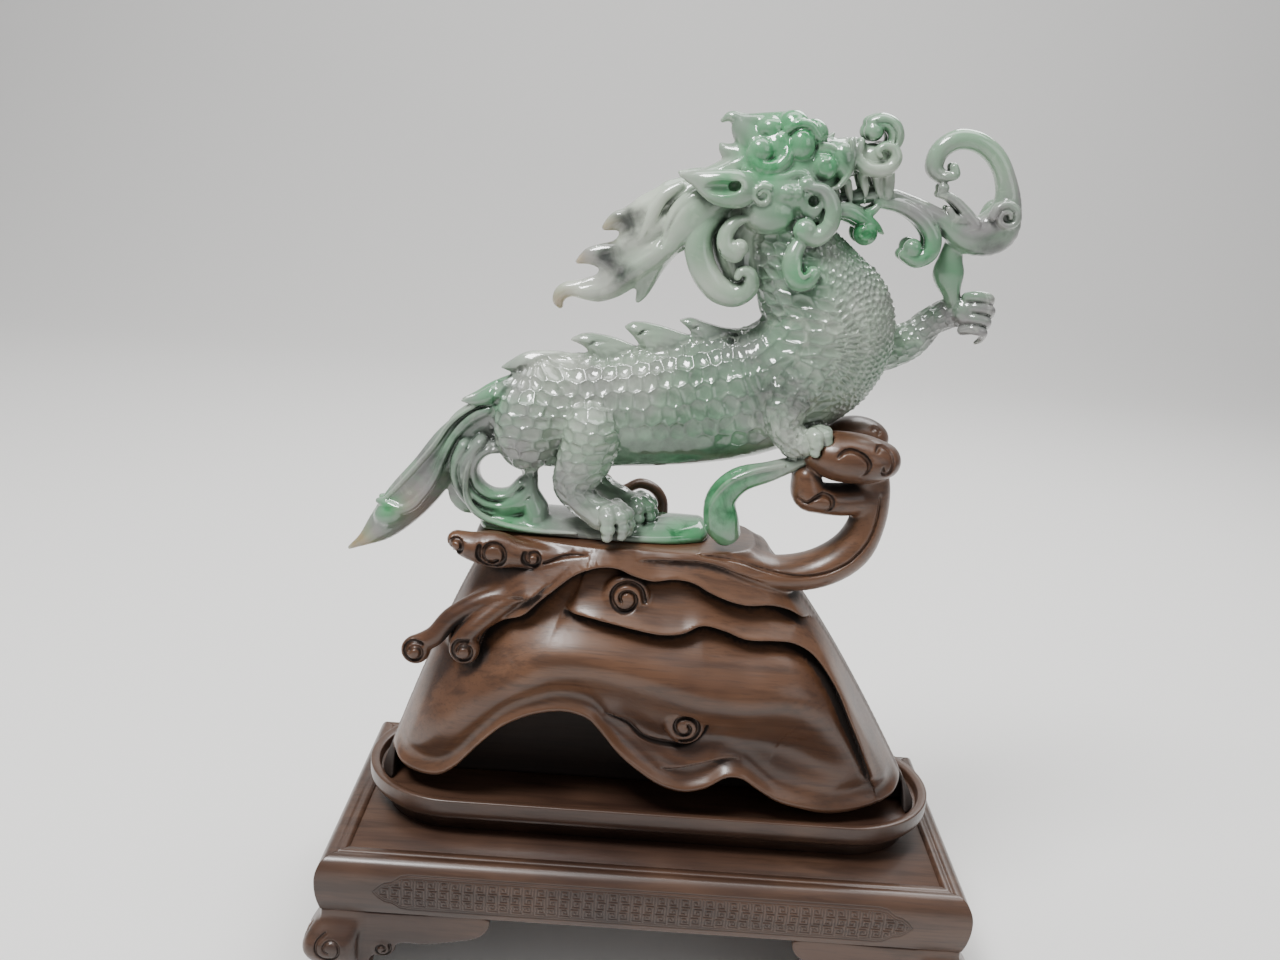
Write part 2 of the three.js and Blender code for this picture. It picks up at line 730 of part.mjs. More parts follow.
// Lower edge of a bracket board, from its tip to the leg, as a flat shape: x runs from the corner, y is height.
function bracketBoard(reach) {
  const top = STAND_HEIGHT - RAIL_HEIGHT - FIT_GAP;
  const shape = new THREE.Shape();
  shape.moveTo(0, top);
  shape.lineTo(0, 0);
  shape.lineTo(FOOT_POST, 0);
  shape.bezierCurveTo(FOOT_POST + 2, top * 0.3, FOOT_POST * 0.9, top * 0.45, FOOT_POST + 8, top - FOOT_APRON * 1.5);
  shape.bezierCurveTo(FOOT_POST + 16, top - FOOT_APRON * 0.8, reach * 0.6, top - FOOT_APRON * 1.3, reach * 0.8, top - FOOT_APRON);
  shape.quadraticCurveTo(reach, top - FOOT_APRON * 0.8, reach, top - FOOT_APRON * 0.15);
  shape.lineTo(reach - 2, top);
  shape.closePath();
  return new THREE.ExtrudeGeometry(shape, { depth: FOOT_BOARD, bevelEnabled: false, curveSegments: 2 });
}

// A bracket foot for the front left corner: a bulging leg and a scroll edged board along each side.
function bracketFoot() {
  const top = STAND_HEIGHT - RAIL_HEIGHT - FIT_GAP;
  const front = bracketBoard(FOOT_REACH).rotateX(Math.PI / 2).translate(0, FOOT_BOARD, 0);
  const side = bracketBoard(FOOT_SIDE_REACH).rotateX(Math.PI / 2).rotateZ(Math.PI / 2);
  const levels = [[0, 0.35], [0.15, 0.15], [0.4, 0.95], [0.7, 0.9], [1, 0.1]];
  const rings = levels.map(([share, bulge]) => {
    const out = -FOOT_BULGE * bulge;
    const corner = 4;
    const back = FOOT_POST * 0.9;
    return [
      [out + corner, out], [back, out], [back, back], [out, back], [out, out + corner], [out + corner * 0.3, out + corner * 0.3],
    ].map(([x, y]) => new THREE.Vector3(x, y, share * top));
  });
  const leg = skin(rings);
  return join([solidOf(front), solidOf(side), leg]);
}

// Materials

const jade = new THREE.MeshStandardMaterial({ color: 0xa9b8a4, roughness: 0.18, metalness: 0 });
const rosewood = new THREE.MeshStandardMaterial({ color: 0x4a2a1a, roughness: 0.35, metalness: 0 });
const darkwood = new THREE.MeshStandardMaterial({ color: 0x2e1b13, roughness: 0.4, metalness: 0 });

// The whole work

const root = new THREE.Group();

const figure = new THREE.Group();
figure.position.z = FIGURE_FLOOR;
figure.add(meshOf("jade_qilin", jadeQilin(), jade));
root.add(figure);

const rock = new THREE.Group();
rock.position.z = ROCK_TOP;
rock.add(meshOf("rockwork_stand", rockworkStand(), rosewood));
root.add(rock);

const tray = new THREE.Group();
tray.position.z = STAND_HEIGHT;
tray.add(meshOf("oval_tray", ovalTray(), darkwood));
root.add(tray);

const top = new THREE.Group();
top.position.z = STAND_HEIGHT;
for (const [name, length, offset, turn] of [
  ["front", STAND_LENGTH, STAND_DEPTH / 2, 0],
  ["back", STAND_LENGTH, STAND_DEPTH / 2, Math.PI],
  ["right", STAND_DEPTH, STAND_LENGTH / 2, Math.PI / 2],
  ["left", STAND_DEPTH, STAND_LENGTH / 2, -Math.PI / 2],
]) {
  const mesh = meshOf("stand_rail_" + name, rail(length, offset), darkwood);
  mesh.rotation.z = turn;
  top.add(mesh);
}
top.add(meshOf("stand_panel", standPanel(), darkwood));
root.add(top);

for (const [name, alongX, alongY] of [
  ["front_left", 1, 1],
  ["front_right", -1, 1],
  ["back_left", 1, -1],
  ["back_right", -1, -1],
]) {
  const mesh = meshOf("bracket_foot_" + name, bracketFoot(), darkwood);
  mesh.scale.set(alongX, alongY, 1);
  mesh.position.x = -alongX * (STAND_LENGTH / 2 - RAIL_UNDERCUT);
  mesh.position.y = -alongY * (STAND_DEPTH / 2 - RAIL_UNDERCUT);
  root.add(mesh);
}

export default root;
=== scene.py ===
"""The looks of a carved jade qilin on its rosewood stands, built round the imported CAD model.

Every piece is sculpted or lofted here in millimetres from named sizes and control stations, set by the
CAD boxes, and turned into metres when its mesh is made. The qilin looks towards +X and the work's front
faces -Y.
"""

import logging
import math
from dataclasses import dataclass
from enum import IntEnum
from typing import Sequence

import bpy
import numpy as np
import openvdb as vdb
from mathutils import Matrix, Vector


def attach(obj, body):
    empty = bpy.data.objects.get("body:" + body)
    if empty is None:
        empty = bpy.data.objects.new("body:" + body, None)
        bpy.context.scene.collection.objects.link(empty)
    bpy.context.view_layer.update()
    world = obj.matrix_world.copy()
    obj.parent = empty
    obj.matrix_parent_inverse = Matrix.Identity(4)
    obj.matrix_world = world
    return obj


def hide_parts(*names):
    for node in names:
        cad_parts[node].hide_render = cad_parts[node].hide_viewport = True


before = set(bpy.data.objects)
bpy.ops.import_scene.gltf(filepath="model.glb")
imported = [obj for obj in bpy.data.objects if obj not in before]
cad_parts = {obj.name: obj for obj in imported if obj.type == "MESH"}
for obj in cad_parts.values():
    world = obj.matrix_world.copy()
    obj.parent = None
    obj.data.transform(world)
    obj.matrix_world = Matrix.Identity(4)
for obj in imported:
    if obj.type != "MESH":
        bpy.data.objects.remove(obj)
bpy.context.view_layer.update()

log = logging.getLogger("scene")

MM = 0.001
FAR = 7.0  # signed distances are kept true up to this many millimetres off a surface
LEAST_RADIUS = 0.25  # the thinnest that a bar gets, in millimetres
MARGIN = 3  # cells kept round a block, and round each solid that is joined to it
Row = Sequence[float]
Grid = tuple[np.ndarray, np.ndarray, np.ndarray]


class Side(IntEnum):
    """The two faces of the work, as the sign of their Y."""

    NEAR = -1
    FAR = 1


# Curves


def smooth_rows(rows: Sequence[Row], per_span: int) -> np.ndarray:
    """Runs a centripetal Catmull-Rom curve through rows of numbers.

    Args:
        rows: Points, each of the same length; the first three numbers set the spacing.
        per_span: How many steps each span between two points gets.

    Returns:
        The sampled rows, ends included.
    """
    points = np.array(rows, float)
    if len(points) == 2:
        share = np.linspace(0, 1, per_span + 1)[:, None]
        return points[0] * (1 - share) + points[1] * share
    padded = np.vstack([2 * points[0] - points[1], points, 2 * points[-1] - points[-2]])
    spacing = np.maximum(np.linalg.norm(np.diff(padded[:, :3], axis=0), axis=1), 1e-6) ** 0.5
    sampled = []
    for i in range(1, len(padded) - 2):
        a, b, c, d = padded[i - 1 : i + 3]
        ab, bc, cd = spacing[i - 1 : i + 2]
        leave = (b - a) / ab - (c - a) / (ab + bc) + (c - b) / bc
        reach = (c - b) / bc - (d - b) / (bc + cd) + (d - c) / cd
        for t in np.linspace(0, 1, per_span, endpoint=False):
            sampled.append(
                b * (2 * t**3 - 3 * t**2 + 1)
                + c * (3 * t**2 - 2 * t**3)
                + leave * bc * (t**3 - 2 * t**2 + t)
                + reach * bc * (t**3 - t**2)
            )
    sampled.append(padded[-2])
    return np.array(sampled)


def smoothstep(low: float, high: float, value: np.ndarray) -> np.ndarray:
    """Eases from 0 at low to 1 at high.

    Args:
        low: Where the result leaves 0.
        high: Where the result reaches 1.
        value: The numbers to ease.

    Returns:
        The eased numbers.
    """
    share = np.clip((value - low) / (high - low), 0, 1)
    return share * share * (3 - 2 * share)


# Solids as signed distances


class Shape:
    """A solid that can say how far points are from its surface, in millimetres."""

    def bounds(self) -> tuple[np.ndarray, np.ndarray]:
        """Gives the lowest and highest corner of the solid."""
        raise NotImplementedError

    def distance(self, clay: "Clay", window: tuple[slice, ...], grid: Grid) -> np.ndarray:
        """Measures signed distances.

        Args:
            clay: The block that asks.
            window: The part of the block's grid to measure.
            grid: The x, y and z of that part, ready to broadcast.

        Returns:
            Distances on the window's grid, negative inside.
        """
        raise NotImplementedError


@dataclass
class Ball(Shape):
    """An oval ball, which may lean in the x z plane."""

    middle: Row
    radii: Row
    lean: float = 0.0

    def bounds(self) -> tuple[np.ndarray, np.ndarray]:
        """Gives the lowest and highest corner of the ball."""
        reach = max(self.radii[0], self.radii[2]) if self.lean else None
        radii = np.array([reach or self.radii[0], self.radii[1], reach or self.radii[2]])
        return np.array(self.middle) - radii, np.array(self.middle) + radii

    def distance(self, clay: "Clay", window: tuple[slice, ...], grid: Grid) -> np.ndarray:
        """Measures signed distances to the oval."""
        x, y, z = (axis - m for axis, m in zip(grid, self.middle))
        turn = math.radians(self.lean)
        wide, thick, tall = self.radii
        along = (x * math.cos(turn) + z * math.sin(turn)) / wide
        up = (z * math.cos(turn) - x * math.sin(turn)) / tall
        deep = y / thick
        near = np.sqrt(along**2 + up**2 + deep**2)
        slope = np.sqrt((along / wide) ** 2 + (up / tall) ** 2 + (deep / thick) ** 2)
        return near * (near - 1) / np.maximum(slope, 1e-4)


@dataclass
class Limb(Shape):
    """A tapering oval bar through stations of x, y, z, radius across the figure and radius in its plane."""

    stations: Sequence[Row]
    per_span: int = 5

    def __post_init__(self) -> None:
        """Samples the axis and works out each short segment's frame."""
        self.rows = smooth_rows(self.stations, self.per_span)
        self.rows[:, 3:] = np.maximum(self.rows[:, 3:], LEAST_RADIUS)
        step = np.diff(self.rows[:, :3], axis=0)
        self.lengths = np.maximum(np.linalg.norm(step, axis=1), 1e-6)
        self.along = step / self.lengths[:, None]
        across = np.array([0.0, 1.0, 0.0]) - self.along * self.along[:, 1:2]
        self.across = across / np.linalg.norm(across, axis=1)[:, None]
        self.up = np.cross(self.along, self.across)
        self.travelled = np.concatenate([[0.0], np.cumsum(self.lengths)])

    def bounds(self) -> tuple[np.ndarray, np.ndarray]:
        """Gives the lowest and highest corner of the bar."""
        reach = self.rows[:, 3:5].max(axis=1)[:, None]
        return (self.rows[:, :3] - reach).min(axis=0), (self.rows[:, :3] + reach).max(axis=0)

    def segment(self, i: int, points: Sequence[np.ndarray]) -> tuple[np.ndarray, ...]:
        """Measures distances to one segment.

        Args:
            i: The segment's number.
            points: The points' x, y and z.

        Returns:
            The signed distance, the share along the segment, the offsets across and up as shares of the
            radii, and how far the point lies past the segment's ends.
        """
        start = self.rows[i]
        px, py, pz = (axis - s for axis, s in zip(points, start))
        d, a, u = self.along[i], self.across[i], self.up[i]
        run = px * d[0] + py * d[1] + pz * d[2]
        share = np.clip(run / self.lengths[i], 0, 1)
        past = run - share * self.lengths[i]
        wide = start[3] + (self.rows[i + 1][3] - start[3]) * share
        tall = start[4] + (self.rows[i + 1][4] - start[4]) * share
        least = np.minimum(wide, tall)
        across = (px * a[0] + py * a[1] + pz * a[2]) / wide
        up = (px * u[0] + py * u[1] + pz * u[2]) / tall
        beyond = past / least
        near = np.sqrt(across**2 + up**2 + beyond**2)
        slope = np.sqrt((across / wide) ** 2 + (up / tall) ** 2 + (beyond / least) ** 2)
        return near * (near - 1) / np.maximum(slope, 1e-4), share, across, up, past

    def distance(self, clay: "Clay", window: tuple[slice, ...], grid: Grid) -> np.ndarray:
        """Measures signed distances, each segment only near itself."""
        whole = np.full([s.stop - s.start for s in window], FAR, np.float32)
        for i in range(len(self.lengths)):
            reach = self.rows[i : i + 2, 3:5].max() + FAR * 0.7
            low = self.rows[i : i + 2, :3].min(axis=0) - reach
            high = self.rows[i : i + 2, :3].max(axis=0) + reach
            local, points = clay.window(low, high, window)
            if local is None:
                continue
            inner = tuple(slice(s.start - w.start, s.stop - w.start) for s, w in zip(local, window))
            whole[inner] = np.minimum(whole[inner], self.segment(i, points)[0])
        return whole

    def nearest(self, points: np.ndarray) -> tuple[np.ndarray, np.ndarray, np.ndarray]:
        """Finds each point's place on the bar.

        Args:
            points: Rows of x, y and z.

        Returns:
            The distance, the way travelled along the axis, and the turn round it in radians, 0 across the
            figure.
        """
        best = np.full(len(points), 1e6)
        travelled = np.zeros(len(points))
        turn = np.zeros(len(points))
        for i in range(len(self.lengths)):
            away, share, across, up, past = self.segment(i, points.T)
            closer = away < best
            best[closer] = away[closer]
            way = self.travelled[i] + share * self.lengths[i]
            if i == 0:
                way = way + np.minimum(past, 0)
            if i == len(self.lengths) - 1:
                way = way + np.maximum(past, 0)
            travelled[closer] = way[closer]
            turn[closer] = np.arctan2(up, across)[closer]
        return best, travelled, turn


@dataclass
class Slab(Shape):
    """A flat flame cut to an outline in the x z plane, thicker in its middle than at its edge."""

    outline: Sequence[Row]
    edge: float
    middle: float
    swell: float
    y: float = 0.0

    def __post_init__(self) -> None:
        """Closes and smooths the outline."""
        rows = [(x, 0, z) for x, z in self.outline]
        curve = smooth_rows([*rows, rows[0]], 5)[:-1]
        self.loop = curve[:, [0, 2]]

    def bounds(self) -> tuple[np.ndarray, np.ndarray]:
        """Gives the lowest and highest corner of the slab."""
        low, high = self.loop.min(axis=0), self.loop.max(axis=0)
        thick = max(self.edge, self.middle)
        return np.array([low[0], self.y - thick, low[1]]), np.array([high[0], self.y + thick, high[1]])

    def distance(self, clay: "Clay", window: tuple[slice, ...], grid: Grid) -> np.ndarray:
        """Measures signed distances to the slab."""
        x, z = grid[0][:, :, 0], grid[2][0]
        best = np.full(np.broadcast(x, z).shape, 1e6, np.float32)
        inside = np.zeros(best.shape, bool)
        for (ax, az), (bx, bz) in zip(self.loop, np.roll(self.loop, -1, axis=0)):
            dx, dz = bx - ax, bz - az
            share = np.clip(((x - ax) * dx + (z - az) * dz) / max(dx * dx + dz * dz, 1e-9), 0, 1)
            best = np.minimum(best, (x - ax - share * dx) ** 2 + (z - az - share * dz) ** 2)
            if dz:
                crosses = ((az > z) != (bz > z)) & (x < dx * (z - az) / dz + ax)
                inside ^= crosses
        flat = np.sqrt(best) * np.where(inside, -1, 1)
        thick = self.edge + (self.middle - self.edge) * (1 - np.exp(np.minimum(flat, 0) / self.swell))
        flat, thick = flat[:, None, :], thick[:, None, :]
        out = np.abs(grid[1] - self.y) - thick
        edge = np.minimum(np.maximum(flat, out), 0)
        return edge + np.sqrt(np.maximum(flat, 0) ** 2 + np.maximum(out, 0) ** 2)


@dataclass
class Track:
    """A line drawn on an upright face, with numbers that ride along it."""

    rows: Sequence[Row]

    def __post_init__(self) -> None:
        """Smooths the line."""
        self.curve = smooth_rows([(r[0], 0.0, *r[1:]) for r in self.rows], 6)

    def measure(self, x: np.ndarray, z: np.ndarray) -> tuple[np.ndarray, np.ndarray]:
        """Measures how far points lie from the line.

        Args:
            x: X of the points.
            z: Height of the points.

        Returns:
            Distances, positive on the left of the line's run, and the numbers carried at the nearest place.
        """
        x, z = np.broadcast_arrays(x, z)
        best = np.full(x.shape, 1e9)
        side = np.ones(x.shape)
        carried = np.zeros((self.curve.shape[1] - 3, *x.shape))
        for a, b in zip(self.curve, self.curve[1:]):
            dx, dz = b[0] - a[0], b[2] - a[2]
            share = np.clip(((x - a[0]) * dx + (z - a[2]) * dz) / max(dx * dx + dz * dz, 1e-9), 0, 1)
            away = (x - a[0] - share * dx) ** 2 + (z - a[2] - share * dz) ** 2
            closer = away < best
            best[closer] = away[closer]
            side[closer] = np.where(dx * (z - a[2]) - dz * (x - a[0]) >= 0, 1, -1)[closer]
            for n, number in enumerate(carried):
                number[closer] = (a[3 + n] + (b[3 + n] - a[3 + n]) * share)[closer]
        return np.sqrt(best) * side, carried


def curl_rows(
    middle: Row, radius: float, tube: float, start: float, turns: float, deep: float, tighten: float = 0.62
) -> list[Row]:
    """Lays out a bar that winds inwards in the x z plane.

    Args:
        middle: X, y and z of the middle.
        radius: Radius of the outer end.
        tube: Radius of the bar in its plane.
        start: Where the outer end stands, in turns from +X towards +Z.
        turns: How far it winds; negative winds the other way.
        deep: Radius of the bar across the figure.
        tighten: How much of the radius the winding loses.

    Returns:
        Stations for a Limb.
    """
    x, y, z = middle
    count = max(4, round(abs(turns) * 8))
    rows = []
    for i in range(count + 1):
        share = i / count
        angle = 2 * math.pi * (start + turns * share)
        reach = radius * (1 - tighten * share)
        at = (x + reach * math.cos(angle), y, z + reach * math.sin(angle))
        rows.append((*at, deep * (1 - 0.15 * share), tube * (1 - 0.3 * share)))
    return rows


class Clay:
    """A block of signed distances on a regular grid, into which solids are joined and cut."""

    def __init__(self, low: Row, high: Row, voxel: float) -> None:
        """Makes an empty block.

        Args:
            low: Lowest corner in millimetres.
            high: Highest corner in millimetres.
            voxel: Spacing of the grid in millimetres.
        """
        self.voxel = voxel
        self.low = np.array(low, float) - MARGIN * voxel
        counts = np.ceil((np.array(high, float) + MARGIN * voxel - self.low) / voxel).astype(int) + 1
        self.axes = [(self.low[i] + voxel * np.arange(counts[i])).astype(np.float32) for i in range(3)]
        self.field = np.full(counts, FAR, np.float32)

    def window(
        self, low: np.ndarray, high: np.ndarray, inside: tuple[slice, ...] | None = None
    ) -> tuple[tuple[slice, ...] | None, Grid | None]:
        """Finds the part of the grid between two corners.

        Args:
            low: Lowest corner.
            high: Highest corner.
            inside: A part of the grid to stay inside.

        Returns:
            The slices and the broadcast coordinates, or None twice where nothing is left.
        """
        slices = []
        for i in range(3):
            first, last = (inside[i].start, inside[i].stop) if inside else (0, len(self.axes[i]))
            start = max(first, int(math.floor((low[i] - self.low[i]) / self.voxel)))
            stop = min(last, int(math.ceil((high[i] - self.low[i]) / self.voxel)) + 1)
            if stop <= start:
                return None, None
            slices.append(slice(start, stop))
        x, y, z = (axis[s] for axis, s in zip(self.axes, slices))
        return tuple(slices), (x[:, None, None], y[None, :, None], z[None, None, :])

    def add(self, shape: Shape, blend: float = 1.0) -> None:
        """Joins a solid on, with a soft fillet.

        Args:
            shape: The solid.
            blend: Width of the fillet in millimetres.
        """
        self._merge(shape, blend, 1)

    def cut(self, shape: Shape, blend: float = 0.4) -> None:
        """Cuts a solid out, with a softened rim.

        Args:
            shape: The solid.
            blend: Width of the softening in millimetres.
        """
        self._merge(shape, blend, -1)

    def _merge(self, shape: Shape, blend: float, sign: int) -> None:
        low, high = shape.bounds()
        pad = blend + MARGIN * self.voxel
        window, grid = self.window(low - pad, high + pad)
        if window is None:
            return
        mine = self.field[window] * sign
        theirs = shape.distance(self, window, grid)
        self.field[window] = sign * soft_min(mine, theirs, blend)

    def sample(self, points: np.ndarray) -> np.ndarray:
        """Reads the signed distance at points between the grid's.

        Args:
            points: Rows of x, y and z.

        Returns:
            Distances in millimetres.
        """
        place = (points - self.low) / self.voxel
        top = np.array(self.field.shape) - 2
        cell = np.clip(np.floor(place).astype(int), 0, top)
        part = np.clip(place - cell, 0, 1)
        total = np.zeros(len(points))
        for corner in np.ndindex(2, 2, 2):
            weight = np.prod(np.where(corner, part, 1 - part), axis=1)
            total += weight * self.field[tuple((cell + corner).T)]
        return total

    def shading(self, points: np.ndarray, reach: float) -> tuple[np.ndarray, np.ndarray]:
        """Finds how hollow and how sharp the surface is at points on it.

        Args:
            points: Rows of x, y and z.
            reach: How far round a point counts.

        Returns:
            How hollow and how sharp each place is, both from 0 to 1.
        """
        step = np.eye(3) * self.voxel
        slope = np.stack([self.sample(points + s) - self.sample(points - s) for s in step], axis=1)
        size = np.maximum(np.linalg.norm(slope, axis=1), 1e-6)
        out = slope / size[:, None] * reach
        steep = np.maximum(size / (2 * self.voxel), 0.35) * reach
        hollow = 1 - self.sample(points + out) / steep
        sharp = 1 + self.sample(points - out) / steep
        return np.clip(hollow, 0, 1), np.clip(sharp, 0, 1)

    def front(self, x: float, z: float) -> float:
        """Finds how far forward the solid reaches.

        Args:
            x: X of the place.
            z: Height of the place.

        Returns:
            The lowest Y inside the solid there, or the middle plane where there is none.
        """
        i = int(np.clip(round((x - self.low[0]) / self.voxel), 0, self.field.shape[0] - 1))
        k = int(np.clip(round((z - self.low[2]) / self.voxel), 0, self.field.shape[2] - 1))
        column = self.field[i, :, k]
        inside = np.flatnonzero(column < 0)
        if not len(inside) or inside[0] == 0:
            return 0.0
        j = inside[0]
        share = column[j - 1] / (column[j - 1] - column[j])
        return float(self.axes[1][j - 1] + self.voxel * share)

    def engrave(self, rows: Sequence[Row], blend: float = 0.5) -> None:
        """Cuts a groove that follows the front of the solid.

        Args:
            rows: Stations of a Limb, whose Y is found here.
            blend: Width of the softened rim.
        """
        curve = smooth_rows(rows, 4)
        depth = np.array([self.front(r[0], r[2]) for r in curve])
        padded = np.concatenate([[depth[0]] * 2, depth, [depth[-1]] * 2])
        curve[:, 1] = np.convolve(padded, np.ones(5) / 5, "valid")
        self.cut(Limb(curve, 1), blend)

    def surface(self) -> tuple[np.ndarray, np.ndarray]:
        """Meshes the block's surface.

        Returns:
            Corner points in millimetres and rows of four corner numbers.
        """
        store = vdb.FloatGrid(FAR)
        store.copyFromArray(self.field, tolerance=0.0)
        points, _, quads = store.convertToPolygons(0.0, 0.0)
        return points * self.voxel + self.low, quads[:, ::-1]


def soft_min(a: np.ndarray, b: np.ndarray, blend: float) -> np.ndarray:
    """Joins two distances with a rounded valley.

    Args:
        a: First distances.
        b: Second distances.
        blend: Width of the rounding.

    Returns:
        The joined distances.
    """
    least = np.minimum(a, b)
    if blend <= 0:
        return least
    overlap = np.maximum(blend - np.abs(a - b), 0) / blend
    return least - overlap * overlap * blend * 0.25


# The jade

STEP = 212 / 210  # one step of the grid that the figure is laid out on, in millimetres
HEAD_SET_BACK = 1.7  # how far the head and vine stand back from the grid, in millimetres
RUMP = -73  # x of the haunches' middle; one step of the grid is near enough one millimetre here
JADE_FLOOR = 229.8  # height of the stone's flat underside over the table
JADE_VOXEL = 0.6
FIN = (2.2, 8, 5.5, 2.4)  # a fin's edge, middle, swell and fillet, in millimetres


def voxel(fine: float) -> float:
    """Gives the spacing of a block's grid.

    Args:
        fine: The spacing at full detail, in millimetres.

    Returns:
        The spacing for this run.
    """
    return fine


class Figure:
    """Forms laid out on the figure's grid, each put into a block of clay."""

    BACK = 0.0  # how far the forms move towards -X, in millimetres

    def __init__(self, clay: Clay) -> None:
        """Keeps the block.

        Args:
            clay: The block to sculpt in.
        """
        self.clay = clay
        self.scaled: list[Limb] = []

    def on_grid(self, rows: Sequence[Row], side: int) -> list[Row]:
        """Turns rows on the figure's grid into millimetres.

        Args:
            rows: Rows of x, y, z and radii on the grid.
            side: -1 mirrors them to the near side.

        Returns:
            The same rows in millimetres.
        """
        return [(r[0] * STEP - self.BACK, r[1] * STEP * side, *(n * STEP for n in r[2:])) for r in rows]

    def oval(self, row: Row, side: int, lean: float) -> Ball:
        """Lays out an oval ball.

        Args:
            row: X, y, z and three radii on the figure's grid.
            side: -1 mirrors it to the near side.
            lean: Its lean in the x z plane in degrees.

        Returns:
            The ball.
        """
        x, y, z, *radii = self.on_grid([row], side)[0]
        return Ball((x, y, z), radii, lean)

    def limb(self, rows: Sequence[Row], blend: float = 1.0, side: int = 1, scales: bool = False) -> None:
        """Adds a bar.

        Args:
            rows: Stations on the figure's grid.
            blend: Width of the fillet round its root.
            side: -1 mirrors it to the near side.
            scales: Whether scales are carved on it.
        """
        bar = Limb(self.on_grid(rows, side))
        self.clay.add(bar, blend)
        if scales:
            self.scaled.append(bar)

    def groove(self, rows: Sequence[Row], blend: float = 0.6, side: int = 1) -> None:
        """Cuts a groove along a bar.

        Args:
            rows: Stations on the figure's grid.
            blend: Width of the softened rim.
            side: -1 mirrors it to the near side.
        """
        self.clay.cut(Limb(self.on_grid(rows, side)), blend)

    def ball(self, row: Row, blend: float = 1.0, side: int = 1, lean: float = 0.0) -> None:
        """Adds an oval ball.

        Args:
            row: X, y, z and three radii on the figure's grid.
            blend: Width of the fillet.
            side: -1 mirrors it to the near side.
            lean: Its lean in the x z plane in degrees.
        """
        self.clay.add(self.oval(row, side, lean), blend)

    def hollow(self, row: Row, blend: float = 0.6, side: int = 1, lean: float = 0.0) -> None:
        """Cuts an oval hollow.

        Args:
            row: X, y, z and three radii on the figure's grid.
            blend: Width of the softened rim.
            side: -1 mirrors it to the near side.
            lean: Its lean in the x z plane in degrees.
        """
        self.clay.cut(self.oval(row, side, lean), blend)

    def slab(self, outline: Sequence[Row], edge: float, middle: float, swell: float, blend: float) -> None:
        """Adds a flat flame on the middle plane.

        Args:
            outline: Rows of x and z on the figure's grid.
            edge: Half its thickness at the edge.
            middle: Half its thickness inside.
            swell: How far from the edge it thickens.
            blend: Width of the fillet.
        """
        rows = [(x * STEP - self.BACK, z * STEP) for x, z in outline]
        self.clay.add(Slab(rows, edge, middle, swell), blend)

    def curl(
        self, middle: Row, radius: float, tube: float, start: float, turns: float, deep: float,
        blend: float = 0.5, side: int = 1, tighten: float = 0.62,
    ) -> None:
        """Adds a bar that winds inwards.

        Args:
            middle: X, y and z of the middle on the figure's grid.
            radius: Radius of the outer end.
            tube: Radius of the bar.
            start: Where the outer end stands, in turns.
            turns: How far it winds.
            deep: Radius of the bar across the figure.
            blend: Width of the fillet.
            side: -1 mirrors it to the near side.
            tighten: How much of the radius the winding loses.
        """
        self.limb(curl_rows(middle, radius, tube, start, turns, deep, tighten), blend, side)


